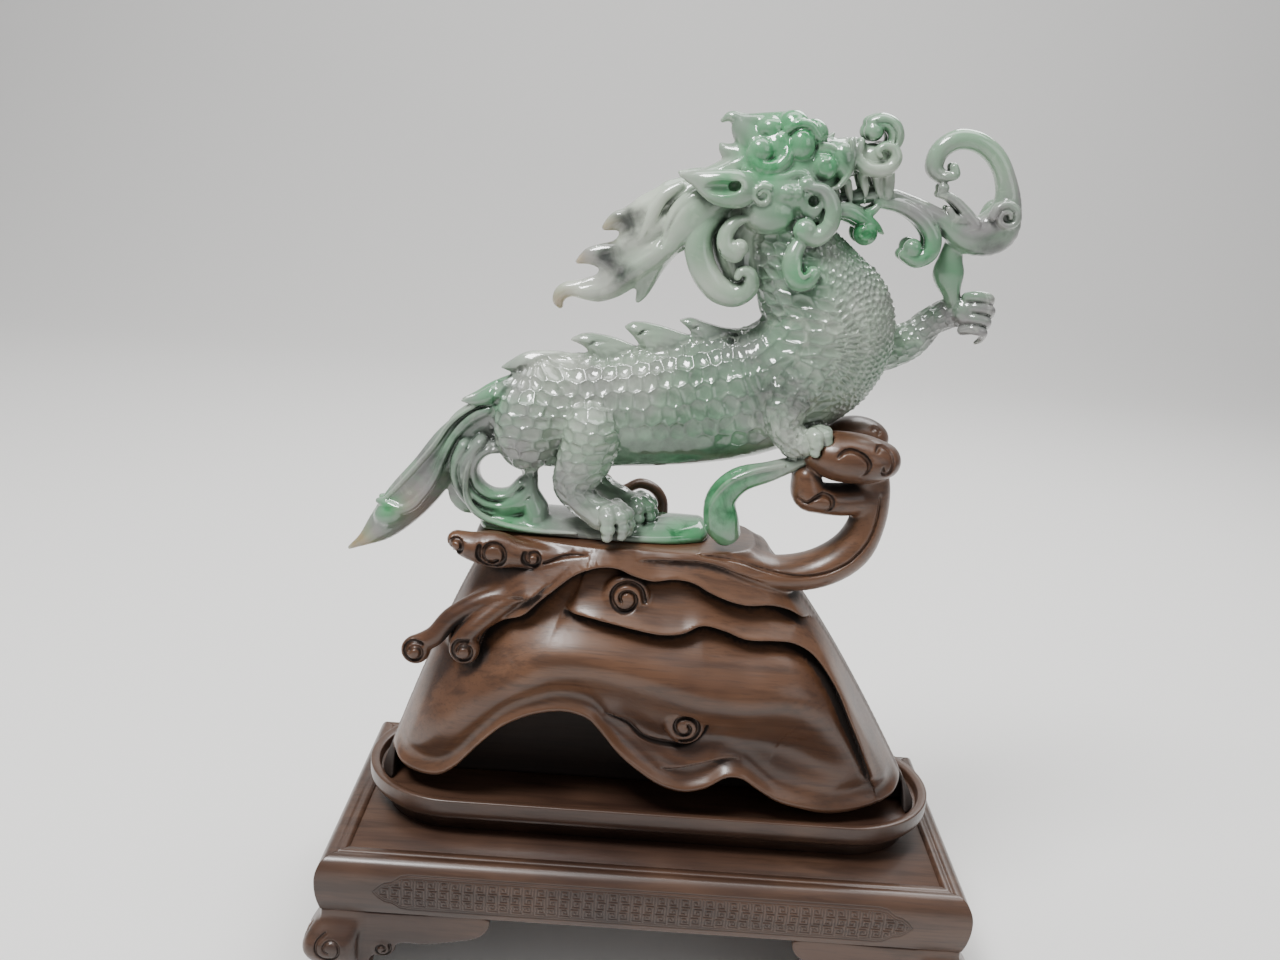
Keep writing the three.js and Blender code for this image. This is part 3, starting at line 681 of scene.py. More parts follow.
class Body(Figure):
    """Torso, dorsal fins, tail, base ribbon and legs."""

    def build(self) -> None:
        """Adds every form of the body."""
        self.torso()
        self.fins()
        self.tail()
        self.ribbon()
        self.leaf()
        self.hind_legs()
        self.foreleg()
        self.raised_arm()

    def torso(self) -> None:
        """Adds rump, trunk, chest and neck as one bar."""
        self.limb([(-78, 0, 55, 15, 20), (-66, 0, 57.5, 20, 27), (-34, 0, 61.5, 22, 28.5),
            (8, 0, 68.5, 22, 31), (36, 0, 76, 23, 31.5), (54, 0, 86, 25, 31.5), (66, 0, 99, 25, 33),
            (69, 0, 113, 25, 32), (60, 0, 128, 22, 27.5), (48, 0, 147, 17, 21.5), (44, 0, 168, 16, 20)],
            blend=0, scales=True)
        for side in Side:
            self.ball((RUMP, 10, 52.5, 17, 16.5, 22), 2.5, side)
            self.groove([(-57, 25, 74, 1.6, 1), (-56.5, 25, 62, 3, 1.6), (-58, 25, 50, 3.4, 1.8),
                (-61, 23, 40, 2, 1)], 1.6, side)

    def fins(self) -> None:
        """Adds the flames along the spine."""
        for outline in ([(-55.5, 95.6), (-49, 98.8), (-42, 99), (-34, 97.8), (-26, 95.2), (-19, 92.6),
                (-19, 84), (-52, 80), (-45, 87.5), (-47.5, 92)],
                [(-29.5, 103.6), (-25, 106.2), (-18, 106.2), (-10, 104.8), (-1, 102.4), (8, 99.6), (10, 88),
                (-24, 84), (-20, 92), (-23.5, 98)],
                [(-3, 108.6), (2.4, 110.2), (10, 108.4), (20, 106.4), (29, 106.8), (38, 108), (38, 94),
                (0, 90), (5.6, 98), (2.6, 104)]):
            self.slab(outline, *FIN)
            for side in Side:
                for drop, y in ((3.0, 5.2), (6.2, 7.2)):
                    rows = [
                        (x + 4 + drop * 0.9, y - 0.8 * (n == 0), z - drop, 1.5, 0.3 + 0.6 * (0 < n < 3))
                        for n, (x, z) in enumerate(outline[:4])
                    ]
                    self.groove(rows, 0.8, side)
        self.slab([(-88.6, 79.4), (-84, 83), (-77, 87.4), (-69, 88.8), (-54, 88.8), (-42, 88.4), (-42, 80),
            (-72, 74), (-77, 78), (-81, 77)], *FIN)

    def tail(self) -> None:
        """Adds the swept tail with its ridges, the cup at its tip and the spike over its root."""
        self.limb([(-78, 0, 60, 10, 10), (-95, 0, 54, 7.5, 8.6), (-110, 0, 40, 7.5, 10),
            (-122, 0, 22, 7.5, 11), (-134, 0, 7, 7.5, 11), (-146, 0, -7, 6.5, 8), (-155, 0, -15, 4, 3.6),
            (-163, 0, -20.5, 1.5, 1)], 2.5)
        for s in Side:
            self.limb([(-82, 5, 69, 5, 6.6), (-92, 6, 66, 4.6, 4.6), (-99, 6, 63.2, 3.6, 2.8),
                (-107, 2, 61.4, 0.8, 0.6)], 0.5, s)
            self.groove([(-104, 10, 55, 3.4, 2.4), (-113, 10.4, 44, 4.2, 4), (-122, 10.6, 30, 4.4, 5),
                (-131, 10.4, 17, 4.2, 4.6), (-138, 9.4, 10, 3, 2.6)], 1.2, s)
            self.groove([(-92, 10, 50, 3, 1.6), (-103, 10, 42, 3.4, 2), (-111, 10, 28, 3.4, 2.2),
                (-117, 9.6, 13, 3.2, 2), (-126, 9, 0, 2.6, 1.4)], 1, s)
            self.limb([(-86, 6, 61.5, 2.6, 2.6), (-101, 7, 54, 2.8, 2.4), (-110, 7.6, 43.6, 2.8, 2.2),
                (-115.4, 7.8, 31.6, 2.8, 2.2), (-119, 7.8, 21.6, 2.8, 2.2), (-124.4, 7.6, 13.2, 2.8, 2.3),
                (-130, 7.4, 6.6, 3, 2.6), (-136, 7, 4.4, 3, 2.8), (-142, 6, 6, 2.6, 2.4),
                (-147.4, 3.4, 7, 2, 1.6)], 0.8, s)
            self.limb([(-98, 5.6, 61.6, 2, 1.2), (-110.6, 6, 52, 2.2, 1.4), (-119.6, 6, 38.6, 2.2, 1.4),
                (-134, 6, 20, 2.2, 1.4), (-146, 4, 6, 1.6, 1)], 0.8, s)
            self.ball((-141, 4, 0.6, 9, 6.4, 6.4), 1, s, 20)

    def ribbon(self) -> None:
        """Adds the ribbon that curls round behind the hind leg and runs on under the paws."""
        self.limb([(-90, 0, 2, 17, 6), (-60, 0, 1.5, 20, 6), (-25, 0, 1, 21, 5.5), (2, 0, 1.5, 20, 6),
            (14, 0, 2, 15, 6.5)], 1)
        for y, radius, tube, start, turns, deep in ((-7, 12.4, 3.4, 0.12, 0.82, 8),
                (-7, 17.2, 3.6, 0.34, 0.58, 8.4), (-7, 21.4, 3.2, 0.4, 0.34, 8)):
            self.curl((-87, y, 28.4), radius, tube, start, turns, deep, 0.6, tighten=0)
        self.limb([(-97, -12, 42, 2, 1), (-101.5, -14, 30, 2.4, 1.4), (-101.5, -16, 17, 2.6, 1.6),
            (-96, -17.4, 9, 2.6, 1.7), (-84, -19, 4.4, 2.4, 1.5), (-66, -20.6, 2.6, 2, 1.2),
            (-46, -21.4, 3, 1.4, 0.6)], 0.7)
        self.slab([(-110, 46), (-99, 53), (-85, 52), (-85, 42), (-96, 39), (-98, 24), (-94, 6), (-104, 3),
            (-112, 10), (-112, 30)], 1.6, 4, 4, 1.5)
        self.limb([(-74, -8, 40, 7, 6), (-71, -8, 28, 6, 3.8), (-69.4, -9, 18, 6.4, 3.6),
            (-67, -10, 8, 8, 6)], 3)
        self.limb([(-84, -7, 9, 7, 5), (-77, -8, 13, 7, 6), (-71, -8.5, 15, 6.4, 6), (-67, -9, 11, 7, 6)],
            2)
        self.groove([(-95, -16.4, 16, 2.4, 0.7), (-87, -17, 11.4, 2.4, 0.8), (-77, -17.6, 12.4, 2.4, 0.7),
            (-70, -16, 18, 2, 0.5)], 0.5)

    def leaf(self) -> None:
        """Adds the rounded leaf that hooks down in front, between the base and the foreleg."""
        self.limb([(62, -19, 48, 4, 3.2), (46, -21, 41.5, 5, 5), (31, -22, 36, 6, 6.5),
            (23.5, -22, 26, 6.5, 7.5), (25, -22, 14, 6.5, 8.5), (28, -20, 8, 6, 7)], 1.2)
        self.limb([(52, -24.5, 46, 1.5, 1), (36, -26.5, 42, 1.6, 1.2), (24.5, -27.5, 35, 1.6, 1.2),
            (18.5, -27, 24, 1.5, 1.1), (19.5, -26, 12, 1, 0.8)], 1)

    def toes(self, palm: Row, size: float, heading: float, drop: float, rise: float = 0.0) -> None:
        """Adds a paw: a palm and four knuckled toes with claws.

        Args:
            palm: X, y and z of the palm.
            size: Radius of the palm.
            heading: The way the toes point, in degrees from +X towards the front.
            drop: How far the toes reach down.
            rise: How far the toes' knuckles stand up.
        """
        x, y, z = palm
        self.ball((*palm, size * 0.82, size * 0.85, size * 0.72), 1.5)
        for swing in (-1.5, -0.5, 0.5, 1.5):
            angle = math.radians(heading + 38 * swing)
            out = size * (1.0 - 0.05 * abs(swing))
            c, s = out * math.cos(angle), -out * math.sin(angle)
            knuckles = ((0.72, size * 0.36 + rise * 0.4, 0.36), (1.0, size * 0.12 + rise * 0.7, 0.4),
                (1.14, rise - drop * 0.8, 0.34), (1.1, rise - drop * 1.7, 0.26))
            for share, up, wide in knuckles:
                radius = size * wide
                self.ball((x + share * c, y + share * s, z + up, radius, radius, radius * 0.95), 0.5)
            tip = [(1.26, 1.5, 0.16), (1.2, 2.0, 0.1)]
            self.limb([(x + share * c, y + share * s, z + rise - drop * fall, size * wide, size * wide)
                for share, fall, wide in tip], 0.3)

    def hind_legs(self) -> None:
        """Adds both hind legs and their paws."""
        self.limb([(-43, -14, 60, 12, 15), (-42, -18, 48, 13, 14.5), (-46, -20, 36, 10.5, 12.5),
            (-49.5, -21, 28, 8.5, 9.6), (-44, -21.6, 20.6, 8, 8), (-36, -22.4, 15, 7.5, 7.5)], 1.0,
            scales=True)
        self.ball((-41.5, -17, 53, 14, 15.5, 17), 1.0, lean=-8)
        self.groove([(-51, -28, 18, 3, 0.8), (-46, -29.6, 13, 3, 1.2), (-40, -30, 11, 2, 0.6)], 0.8)
        self.toes((-33, -23, 14), 11, 20, 4.4)
        self.limb([(-42, 14, 50, 11, 13), (-46, 14, 34, 8.6, 9.6), (-43, 12, 24, 7.5, 7.5),
            (-33, 8, 17, 7, 7), (-26, 4, 14.5, 7, 7)], 1.2, scales=True)
        self.toes((-20, 0, 12.5), 10, 10, 4.2)

    def foreleg(self) -> None:
        """Adds the near foreleg, which rests on the wood's cap."""
        self.limb([(60, -14, 92, 12, 17), (52, -18, 79, 10, 14), (50, -20, 66, 9, 9.5),
            (56, -21, 57, 8, 8)], 1.2, scales=True)
        self.toes((61, -22, 57.5), 10, 8, 4.4, 5)

    def raised_arm(self) -> None:
        """Adds the raised far foreleg, which holds up the vine."""
        self.limb([(84, 12, 99, 10, 14), (101, 14, 100, 9, 11.5), (113, 14, 105, 8, 9.5),
            (122, 13, 115, 7.5, 7.5), (132, 11, 121, 7.5, 8)], 2, scales=True)
        self.ball((135.5, 8.5, 121.5, 7.6, 8.4, 8), 1)
        for finger in range(4):
            z = 129 - 5.4 * finger
            reach = 146.4 - 1.1 * abs(finger - 1)
            self.limb([(135, 3.4, z, 2.2, 2.5), (140, 0.6, z + 1.2, 2.5, 2.6),
                (reach, 0.4, z + 0.4, 2.4, 2.5), (reach + 1.6, 3.6, z - 2.4, 1.8, 1.8)], 0.3)
            self.limb([(reach + 1.4, 3.4, z - 2, 1.7, 1.7), (reach + 0.6, 4.6, z - 4.4, 1.4, 1.5),
                (reach - 1.2, 5.4, z - 5.8, 1, 1)], 0.3)


class Head(Figure):
    """Skull, face, crown, mane, neck scrolls and the vine, which all lean back a little."""

    BACK = HEAD_SET_BACK

    def build(self) -> None:
        """Adds every form of the head, the mane and the vine."""
        self.skull()
        self.mane()
        for side in Side:
            self.cheek(side)
            self.ear(side)
            self.scrolls(side)
            self.crown(side)
        self.muzzle()
        self.vine()

    def skull(self) -> None:
        """Adds the head's main mass and both jaws."""
        self.ball((44, 0, 173, 27, 17, 21), 2)
        self.ball((41, 0, 191, 18, 14, 12), 2)
        self.limb([(50, 0, 184, 14, 12), (64, 0, 188, 12, 10.5), (74, 0, 191, 10.5, 8)], 1.5)
        self.limb([(52, 0, 168, 13, 10), (66, 0, 166.5, 10.5, 5), (76, 0, 163.5, 7.5, 4),
            (84, 0, 158.5, 6, 3.6)], 1)
        self.limb([(40, 0, 160, 15, 14), (48, 0, 152, 13, 14), (50, 0, 142, 12, 14)], 3)
        self.limb([(30, 0, 164, 12, 12), (23, 0, 149, 12.5, 13), (26, 0, 134, 13, 11)], 2)

    def mane(self) -> None:
        """Adds the mane that streams back from the head as one flame with ridged locks."""
        self.slab([(24, 184), (9.5, 181), (-5.3, 175.6), (-12.5, 173.6), (-17.4, 169), (-23.8, 165.6),
            (-28.7, 160), (-36, 157.6), (-40.9, 149.4), (-33.4, 149), (-34.1, 144.6), (-42.4, 142),
            (-48.3, 139.4), (-52.4, 132.8), (-46.5, 132.6), (-41.7, 130.8), (-42.9, 127.7), (-49, 125),
            (-53, 122), (-52, 118), (-48, 116), (-40.8, 115), (-31.4, 118.2), (-23.6, 122.6),
            (-22.5, 115.8), (-17.9, 119.5), (-12.7, 131.2), (-10.4, 136.7), (-7.5, 143.5), (-0.4, 145.2),
            (5.7, 150.9), (16, 156), (30, 160)], 3.2, 9.4, 10, 2)
        for lock in ([(20, 0, 177, 11, 6), (-2, 0, 170, 9.6, 6), (-14, 0, 165.5, 8.6, 5.4),
                (-24, 0, 160, 7, 4.6), (-31, 0, 156, 5, 3.4), (-36.4, 0, 154, 3.4, 2.2),
                (-40.4, 0, 150.2, 1.2, 0.7)],
                [(6, 0, 163, 11, 7), (-8, 0, 157.6, 10, 5.4), (-22, 0, 149.6, 8.4, 5),
                (-33, 0, 141, 6.4, 4), (-41, 0, 138.6, 5, 2.8), (-47, 0, 137, 3.6, 2.2),
                (-52.2, 0, 133.2, 1.1, 0.7)],
                [(14, 0, 160, 11, 7), (0, 0, 152, 10.4, 5.8), (-14, 0, 140, 8.8, 5.4),
                (-27, 0, 128, 7.2, 4.6), (-38, 0, 121, 6, 3.8), (-48, 0, 119.8, 4.8, 4),
                (-54.6, 0, 120, 4.2, 4), (-59, 0, 117.6, 3.8, 3.6), (-60.4, 0, 114, 3.2, 2.8),
                (-59.4, 0, 111.6, 2, 1.6)],
                [(2, 0, 153, 10, 7), (-8, 0, 143.6, 9, 5), (-14, 0, 134, 7.4, 4), (-17.6, 0, 126, 5.4, 3),
                (-21.8, 0, 117, 1.2, 0.8)]):
            self.limb(lock, 2)
        for s in Side:
            self.limb([(18, 8, 171, 6, 7), (6, 9, 165, 7, 9.5), (-2, 9, 157, 7, 9.5),
                (-6, 7.4, 149, 5, 6.4), (-8, 5, 143, 2, 2)], 0.8, s)
            self.limb([(-6, 8, 172, 2.4, 2.4), (-13, 8.4, 167, 2.8, 3), (-17, 8.4, 160.6, 3, 3.2),
                (-19.4, 7.6, 153, 2.8, 2.8), (-24, 6.4, 145, 1.6, 1.4)], 0.8, s)
            self.limb([(-8, 7, 146, 4, 4.6), (-16, 7, 139, 4.4, 5), (-24, 6.4, 132, 3.6, 4),
                (-32, 5.4, 126, 2, 2)], 2, s)
            self.hollow((-30.5, 10.4, 154.2, 4.6, 4.6, 3), 1.5, s, 40)
            self.hollow((-39, 9.2, 137.8, 4.6, 4.4, 2.6), 1.5, s, 30)
            self.hollow((-31.4, 10.4, 129, 2.6, 4.6, 4.6), 1.5, s, -20)
            self.hollow((-19.6, 10.6, 148.6, 1.1, 3, 2.6), 0.8, s, -14)
            self.hollow((-12.6, 12, 145.6, 1.1, 3, 2.4), 0.8, s, -14)
            for groove in ([(9, 17, 171, 1.6, 0.6), (-4, 16.4, 163.6, 1.8, 0.9), (-9, 14, 155, 1.8, 0.9),
                    (-11.5, 10.6, 147, 1.6, 0.6)],
                    [(14, 17.4, 164, 1.6, 0.5), (5, 17.4, 156, 1.8, 0.7), (-2, 14, 147.6, 1.6, 0.6)],
                    [(-18, 10.8, 142, 1.6, 0.7), (-27, 9.4, 135.6, 1.6, 0.9), (-38, 7.4, 126.6, 1.4, 0.8),
                    (-50, 5, 122, 1, 0.4)],
                    [(-9, 10.4, 140, 1.4, 0.5), (-16, 9.8, 130.6, 1.4, 0.8), (-21, 6, 121.6, 1, 0.4)]):
                self.groove(groove, 0.8, s)

    def cheek(self, s: Side) -> None:
        """Adds the barrel brow, the cheek, the ring round the eye and the drilled eye.

        Args:
            s: Which side of the head.
        """
        self.limb([(26, 12, 170, 5, 6), (33, 13, 171.5, 7, 8), (44, 13, 172, 7, 8),
            (50, 13, 170.5, 6, 6.5)], 0.8, s)
        self.ball((36.5, 12, 163, 13.5, 9, 10.5), 1.2, s)
        self.curl((31.8, 20, 171), 4.8, 1.3, 0.15, 1.3, 1.8, 0.3, s)
        self.ball((42.8, 18.6, 172.8, 3.7, 3.5, 3.6), 0.5, s)
        self.ball((47.4, 18.4, 173, 3, 3, 3.2), 0.4, s)
        self.ball((51.4, 15.5, 177.2, 4.6, 4.6, 3.6), 0.5, s, 20)
        self.ball((55.3, 13, 168.5, 9.5, 5.5, 9.5), 0.8, s)
        ring = [(53, 16.5, 176, 4, 2.2), (58.6, 17, 175.4, 4.6, 3.1), (63, 17.2, 171, 5, 3.9),
            (64.4, 17.2, 164.6, 5.2, 4.4), (62.6, 17.4, 158, 5.2, 4.4), (58, 17.8, 153.8, 5.2, 4.4),
            (53.4, 18, 154.6, 5, 4.4)]
        self.limb(ring, 0.3, s)
        self.ball((52.6, 18.6, 156.8, 5.6, 5.4, 5.6), 0.4, s)
        self.limb([(51, 16.8, 166.5, 1.6, 1), (51.6, 17, 172.2, 1.6, 1.2), (56, 17.4, 174.2, 1.6, 1.2),
            (59.6, 17.4, 170.4, 1.4, 1.1), (58.6, 17, 166, 1.2, 0.9)], 0.4, s)
        self.hollow((55.4, 19, 169.9, 2.7, 6.5, 2.7), 0.3, s)
        self.groove([(61, 17.5, 166, 2, 1.2), (59.8, 17.5, 161.4, 2, 1.4), (57.6, 17.5, 161.6, 2, 1)], 0.5,
            s)

    def ear(self, s: Side) -> None:
        """Adds the leaf shaped ear with its slit.

        Args:
            s: Which side of the head.
        """
        self.limb([(27, 15, 174, 4.4, 6.4), (20.5, 19, 173, 5.4, 8.6), (11, 20, 173.4, 5.2, 8),
            (2, 18, 176, 4, 4.2), (-6, 14, 177.4, 1.6, 1)], 0.6, s)
        self.hollow((12.6, 25, 173.4, 9.4, 4, 3.4), 0.8, s, 4)
        self.hollow((18.4, 22.6, 174.4, 3, 6, 2.4), 0.4, s, 20)

    def scrolls(self, s: Side) -> None:
        """Adds the curled beard and the two scrolls that hug the neck.

        Args:
            s: Which side of the head.
        """
        self.limb([(52, 15, 152.5, 4.6, 3.8), (48.6, 18.5, 145.6, 5, 4.4), (48.2, 20.5, 139, 5, 4.9),
            (51, 21.5, 133.8, 5, 4.6), (55.6, 21.5, 134, 4.6, 4), (58, 21, 137.6, 4.4, 3.7)], 0.3, s)
        self.limb([(50.8, 23.6, 143, 0.9, 0.7), (51.6, 25.6, 138.4, 1, 0.7), (53.6, 26, 136.4, 1, 0.7),
            (56, 25.4, 138, 0.9, 0.6)], 0.9, s)
        self.limb([(26, 14, 160.4, 4, 1.8), (19.6, 16, 157.4, 4.4, 3.2), (16.4, 17, 151, 4.8, 3.9),
            (18, 17.6, 145.4, 4.8, 4.2), (21.6, 17.6, 143.6, 4.6, 4.2)], 0.3, s)
        self.ball((23.2, 18.4, 146.8, 4.4, 4.6, 4.2), 0.3, s)
        self.limb([(11, 8, 160, 6, 6), (5.6, 10, 152, 6, 6.2), (5, 11, 143, 6, 6.6), (9, 12, 133, 5.8, 6.6),
            (16, 13, 126, 5.6, 6.4), (24, 14, 124.4, 5.2, 5.6), (30, 15.5, 129, 4.8, 4.4),
            (29.4, 16.4, 135, 4.6, 3.2), (25.2, 17, 136.2, 4.2, 2.4), (23.8, 17.2, 133.4, 4, 1.9)], 0.4, s)
        self.groove([(15, 18.5, 148, 1.8, 0.5), (14.4, 18.6, 140, 1.8, 0.6), (17.6, 18.8, 134, 1.8, 0.6),
            (22, 19, 129, 1.6, 0.5)], 0.4, s)
        self.groove([(11.4, 17.6, 147, 1.6, 0.5), (11, 18, 139, 1.6, 0.5), (14.6, 18.6, 131.5, 1.6, 0.4)],
            0.4, s)

    def crown(self, s: Side) -> None:
        """Adds the curls on the crown.

        Args:
            s: Which side of the head.
        """
        self.ball((34, 5, 200.5, 6.6, 6, 5.4), 0.5, s)
        self.ball((44, 6, 203.2, 7.2, 6.4, 6.4), 0.5, s)
        self.ball((53.4, 6, 199.6, 7, 6.4, 6.8), 0.5, s)
        self.ball((48, 11, 194.3, 6.2, 6, 7.6), 0.3, s)
        self.ball((39, 9, 195.8, 4, 4.4, 4), 0.3, s)
        self.limb([(41, 10.5, 200.5, 2.4, 2), (45.4, 12, 203.4, 2.4, 2.2), (51, 11.8, 203, 2.4, 2.2),
            (55.6, 11, 198, 2.4, 2)], 0.4, s)
        self.ball((29.6, 11, 190.6, 6.2, 5.6, 6), 0.4, s)
        self.limb([(25.6, 11, 189, 4, 3), (27.4, 12, 184.6, 4.6, 3.8), (33, 12.6, 182.6, 5, 4.2),
            (38.6, 12.4, 184.4, 4.8, 4), (41.8, 12, 189, 4.2, 3.2), (41.4, 11, 193, 3, 2)], 0.4, s)
        self.limb([(35, 9, 190, 3, 3), (34.4, 9.6, 196, 1.6, 1.4), (34, 9.4, 199, 0.7, 0.6)], 0.5, s)
        self.ball((59.2, 12, 185, 6, 5.4, 6), 0.4, s)
        self.curl((59.2, 16.4, 185), 3.4, 0.9, 0.2, 1.2, 1.1, 0.3, s)
        self.ball((68, 8.5, 188.5, 5.4, 5.4, 8.6), 0.6, s, 8)
        for i in range(3):
            self.limb([(56.5, 10, 195 - 2 * i, 1.6, 1.4), (61, 10.6, 194.6 - 2.6 * i, 1.8, 1.5),
                (65.4, 10, 192.6 - 2.4 * i, 1, 0.8)], 0.4, s)
        self.limb([(24, 12, 181.5, 3, 3), (32, 14.4, 178.6, 3, 2.6), (40, 15, 178.8, 3, 2.6),
            (47, 14.4, 181.6, 2.8, 2.4), (54, 13, 180, 2.4, 2)], 0.8, s)

    def muzzle(self) -> None:
        """Adds what stands on the middle line: crest, nose, lips, teeth and tongue."""
        self.limb([(28, 0, 193, 9, 8), (22, 0, 199, 6.5, 6), (19.4, 0, 203, 4.4, 3.8),
            (15, 0, 204.6, 3, 2.4), (11.4, 0, 202.6, 1.4, 1)], 1.5)
        self.limb([(22, 0, 203.4, 4.4, 3), (31, 0, 203.6, 5.4, 4), (42, 0, 204, 6, 5)], 1.5)
        self.limb([(30, 0, 188, 9, 8), (20, 0, 188, 6, 5.4), (14, 0, 189.6, 3.6, 3),
            (11.6, 0, 192, 1.2, 0.9)], 1.5)
        self.limb([(22, 0, 183, 9, 7), (8, 0, 178, 6, 4), (-4, 0, 175, 3, 1.6)], 2)
        self.limb([(60, 0, 196, 3.4, 3), (63.4, 0, 200.4, 1, 0.8)], 0.8)
        for s in Side:
            self.limb([(75, 8, 197.6, 4, 2.2), (74, 8.6, 191.6, 4.4, 2.8), (77.4, 9, 187, 4.6, 3.3),
                (83.4, 9, 185.6, 4.8, 3.5), (89.4, 8.6, 187.2, 4.8, 3.3), (92, 8.4, 191.8, 4.4, 3),
                (89.8, 8.4, 196, 4.2, 2.5), (85.6, 8.6, 196.4, 4, 2.1), (83.2, 8.8, 193.8, 3.8, 1.8),
                (84.6, 9, 191.8, 3.6, 1.4)], 0.3, s)
            self.ball((83, 3, 191.2, 8.4, 7.4, 6.4), 0.6, s)
            self.limb([(70.8, 8, 197.6, 4, 1.8), (71.8, 9.4, 190, 4, 1.7), (70.4, 9.8, 182.6, 3.8, 1.7),
                (66.4, 10.4, 177, 3.6, 1.5), (62, 12, 175.4, 3, 1.2)], 0.4, s)
            self.limb([(80, 4.6, 206.6, 4.6, 3), (84.4, 5, 207.6, 5, 3.6), (89.4, 5, 205.4, 5.2, 4),
                (91.6, 5, 200.6, 5, 3.8), (89.8, 5, 196, 4.6, 3), (85, 5, 195, 4, 2)], 0.4, s)
            self.ball((80.8, 6, 202.6, 4.6, 5, 4.6), 0.3, s)
            for inset in (0, 2.4):
                self.groove([(81, 10, 206.6 - inset * 0.2, 1.4, 0.4),
                    (86.6 - inset * 0.5, 10.4, 206.6 - inset, 1.6, 0.5),
                    (91 - inset, 10.2, 202 - inset * 0.4, 1.6, 0.5), (90.6 - inset, 9.8, 197.4, 1.4, 0.4)],
                    0.4, s)
            self.limb([(90, 5.4, 184, 3.4, 3.2), (90.6, 5.6, 178.6, 3.2, 3), (90.8, 5.4, 175, 2.8, 2.6)],
                0.5, s)
            self.limb([(84, 5.4, 184, 2.6, 2.6), (86.4, 5.6, 177, 2, 2.1), (88, 5.2, 169, 0.6, 0.5)], 0.3,
                s)
            self.limb([(78, 6.2, 183, 2.4, 2.4), (80, 6.4, 176.4, 1.8, 1.9), (80.6, 6, 170, 0.6, 0.5)], 0.3,
                s)
            self.limb([(71, 7.4, 179, 2.2, 2.2), (73, 7.4, 173, 1.5, 1.6), (74, 7, 168.4, 0.5, 0.5)], 0.3,
                s)
            self.limb([(79, 5, 164.4, 2.8, 2.4), (84.4, 5.4, 166.6, 2.4, 2.2), (88, 5.2, 171.4, 1.5, 1.3),
                (89, 5, 177, 0.6, 0.5)], 0.3, s)
            self.limb([(66, 9.6, 166.6, 3.4, 3.6), (73.6, 9, 166.4, 3.6, 3.8), (80, 7.4, 163.4, 3.4, 3.4),
                (86.6, 5, 160, 2.6, 2.6), (91.4, 3, 156.8, 0.8, 0.7)], 0.6, s)
            self.ball((82.4, 6.6, 156.6, 5.8, 4.6, 5.8), 0.4, s)
            self.curl((82.4, 10.6, 156.6), 3.4, 0.8, 0.3, 1.2, 1, 0.3, s)
        self.limb([(60, 0, 170, 6, 4), (72, 0, 169.4, 5, 3), (80, 0, 168, 3.6, 2.4),
            (84, 0, 170.6, 2, 1.6)], 0.4)
        self.groove([(60, 0, 177.5, 7, 3.4), (72, 0, 175.5, 7, 5.2), (82, 0, 174, 7, 6),
            (90, 0, 170, 6, 5)], 0.3)

    def vine(self) -> None:
        """Adds the vine that runs from the mouth over the raised paw and curls back."""
        self.limb([(68, 0, 170, 6, 3.4), (88, 0, 174.5, 5.5, 4), (104, 0, 170.5, 5.5, 4.6),
            (118, 0, 165, 5.5, 5), (133, 0, 158, 7.5, 8.5), (145, 0, 162, 8, 10.5), (148.5, 0, 173, 7, 6.8),
            (146, 0, 185, 5.5, 5), (140, 0, 195, 5, 4.8), (131, 0, 201, 5, 4.8), (121, 0, 201.5, 5, 4.8),
            (113.5, 0, 196, 5, 4.6), (112, 0, 188, 5, 4.2), (116.6, 0, 184, 4.5, 3.4)], 0.8)
        for s in Side:
            self.limb([(117, 3, 184.6, 3, 2.4), (121.4, 3, 186, 3, 2.4), (120.6, 3, 189.4, 2.6, 2)], 0.3, s)
            self.limb([(88, 3, 171, 4, 3), (98, 4, 170, 4, 3.6), (108, 4.6, 165, 4.4, 4),
                (114.6, 4.6, 157, 4.4, 4.2), (114, 4.6, 149.6, 4.4, 4.2), (108, 4.6, 145.6, 4, 3.8),
                (102.6, 4.6, 147.6, 3.6, 3)], 0.4, s)
            self.ball((105.6, 5.6, 151.4, 4.4, 4.4, 4.4), 0.3, s)
            self.curl((147, 7.6, 168.6), 6.6, 2.1, 0.5, -1.5, 3.4, 0.3, s, 0.75)
            self.limb([(134, 4, 164, 4, 3), (128, 4, 170, 3, 2.6), (121, 3.6, 175.4, 2.6, 2.2),
                (116, 3.4, 176.6, 2, 1.8)], 0.5, s)
            self.ball((117, 3.4, 179.6, 2.6, 2.6, 2.6), 0.3, s)
            self.limb([(130, 4, 166, 2.4, 2), (124, 4.4, 166.4, 2.4, 2), (120.6, 4, 170.4, 1.6, 1.4)], 0.4,
                s)
            self.groove([(106, 7.2, 172.4, 1.4, 0.5), (118, 8.2, 166.4, 1.4, 0.6),
                (130, 9.6, 160, 1.6, 0.7), (140, 10, 156, 1.6, 0.6)], 0.5, s)
            self.groove([(114, 7.6, 163, 1.4, 0.4), (124, 8.6, 157.5, 1.6, 0.6),
                (134, 9.4, 152.6, 1.6, 0.5)], 0.5, s)
        self.limb([(127, 3, 154, 4.5, 4.5), (126.5, 4, 146, 5, 6), (126.6, 4.6, 139.6, 5.5, 7.6),
            (129.4, 6, 131, 4.5, 4.6), (131, 7, 126, 4, 4)], 1)


# Meshes


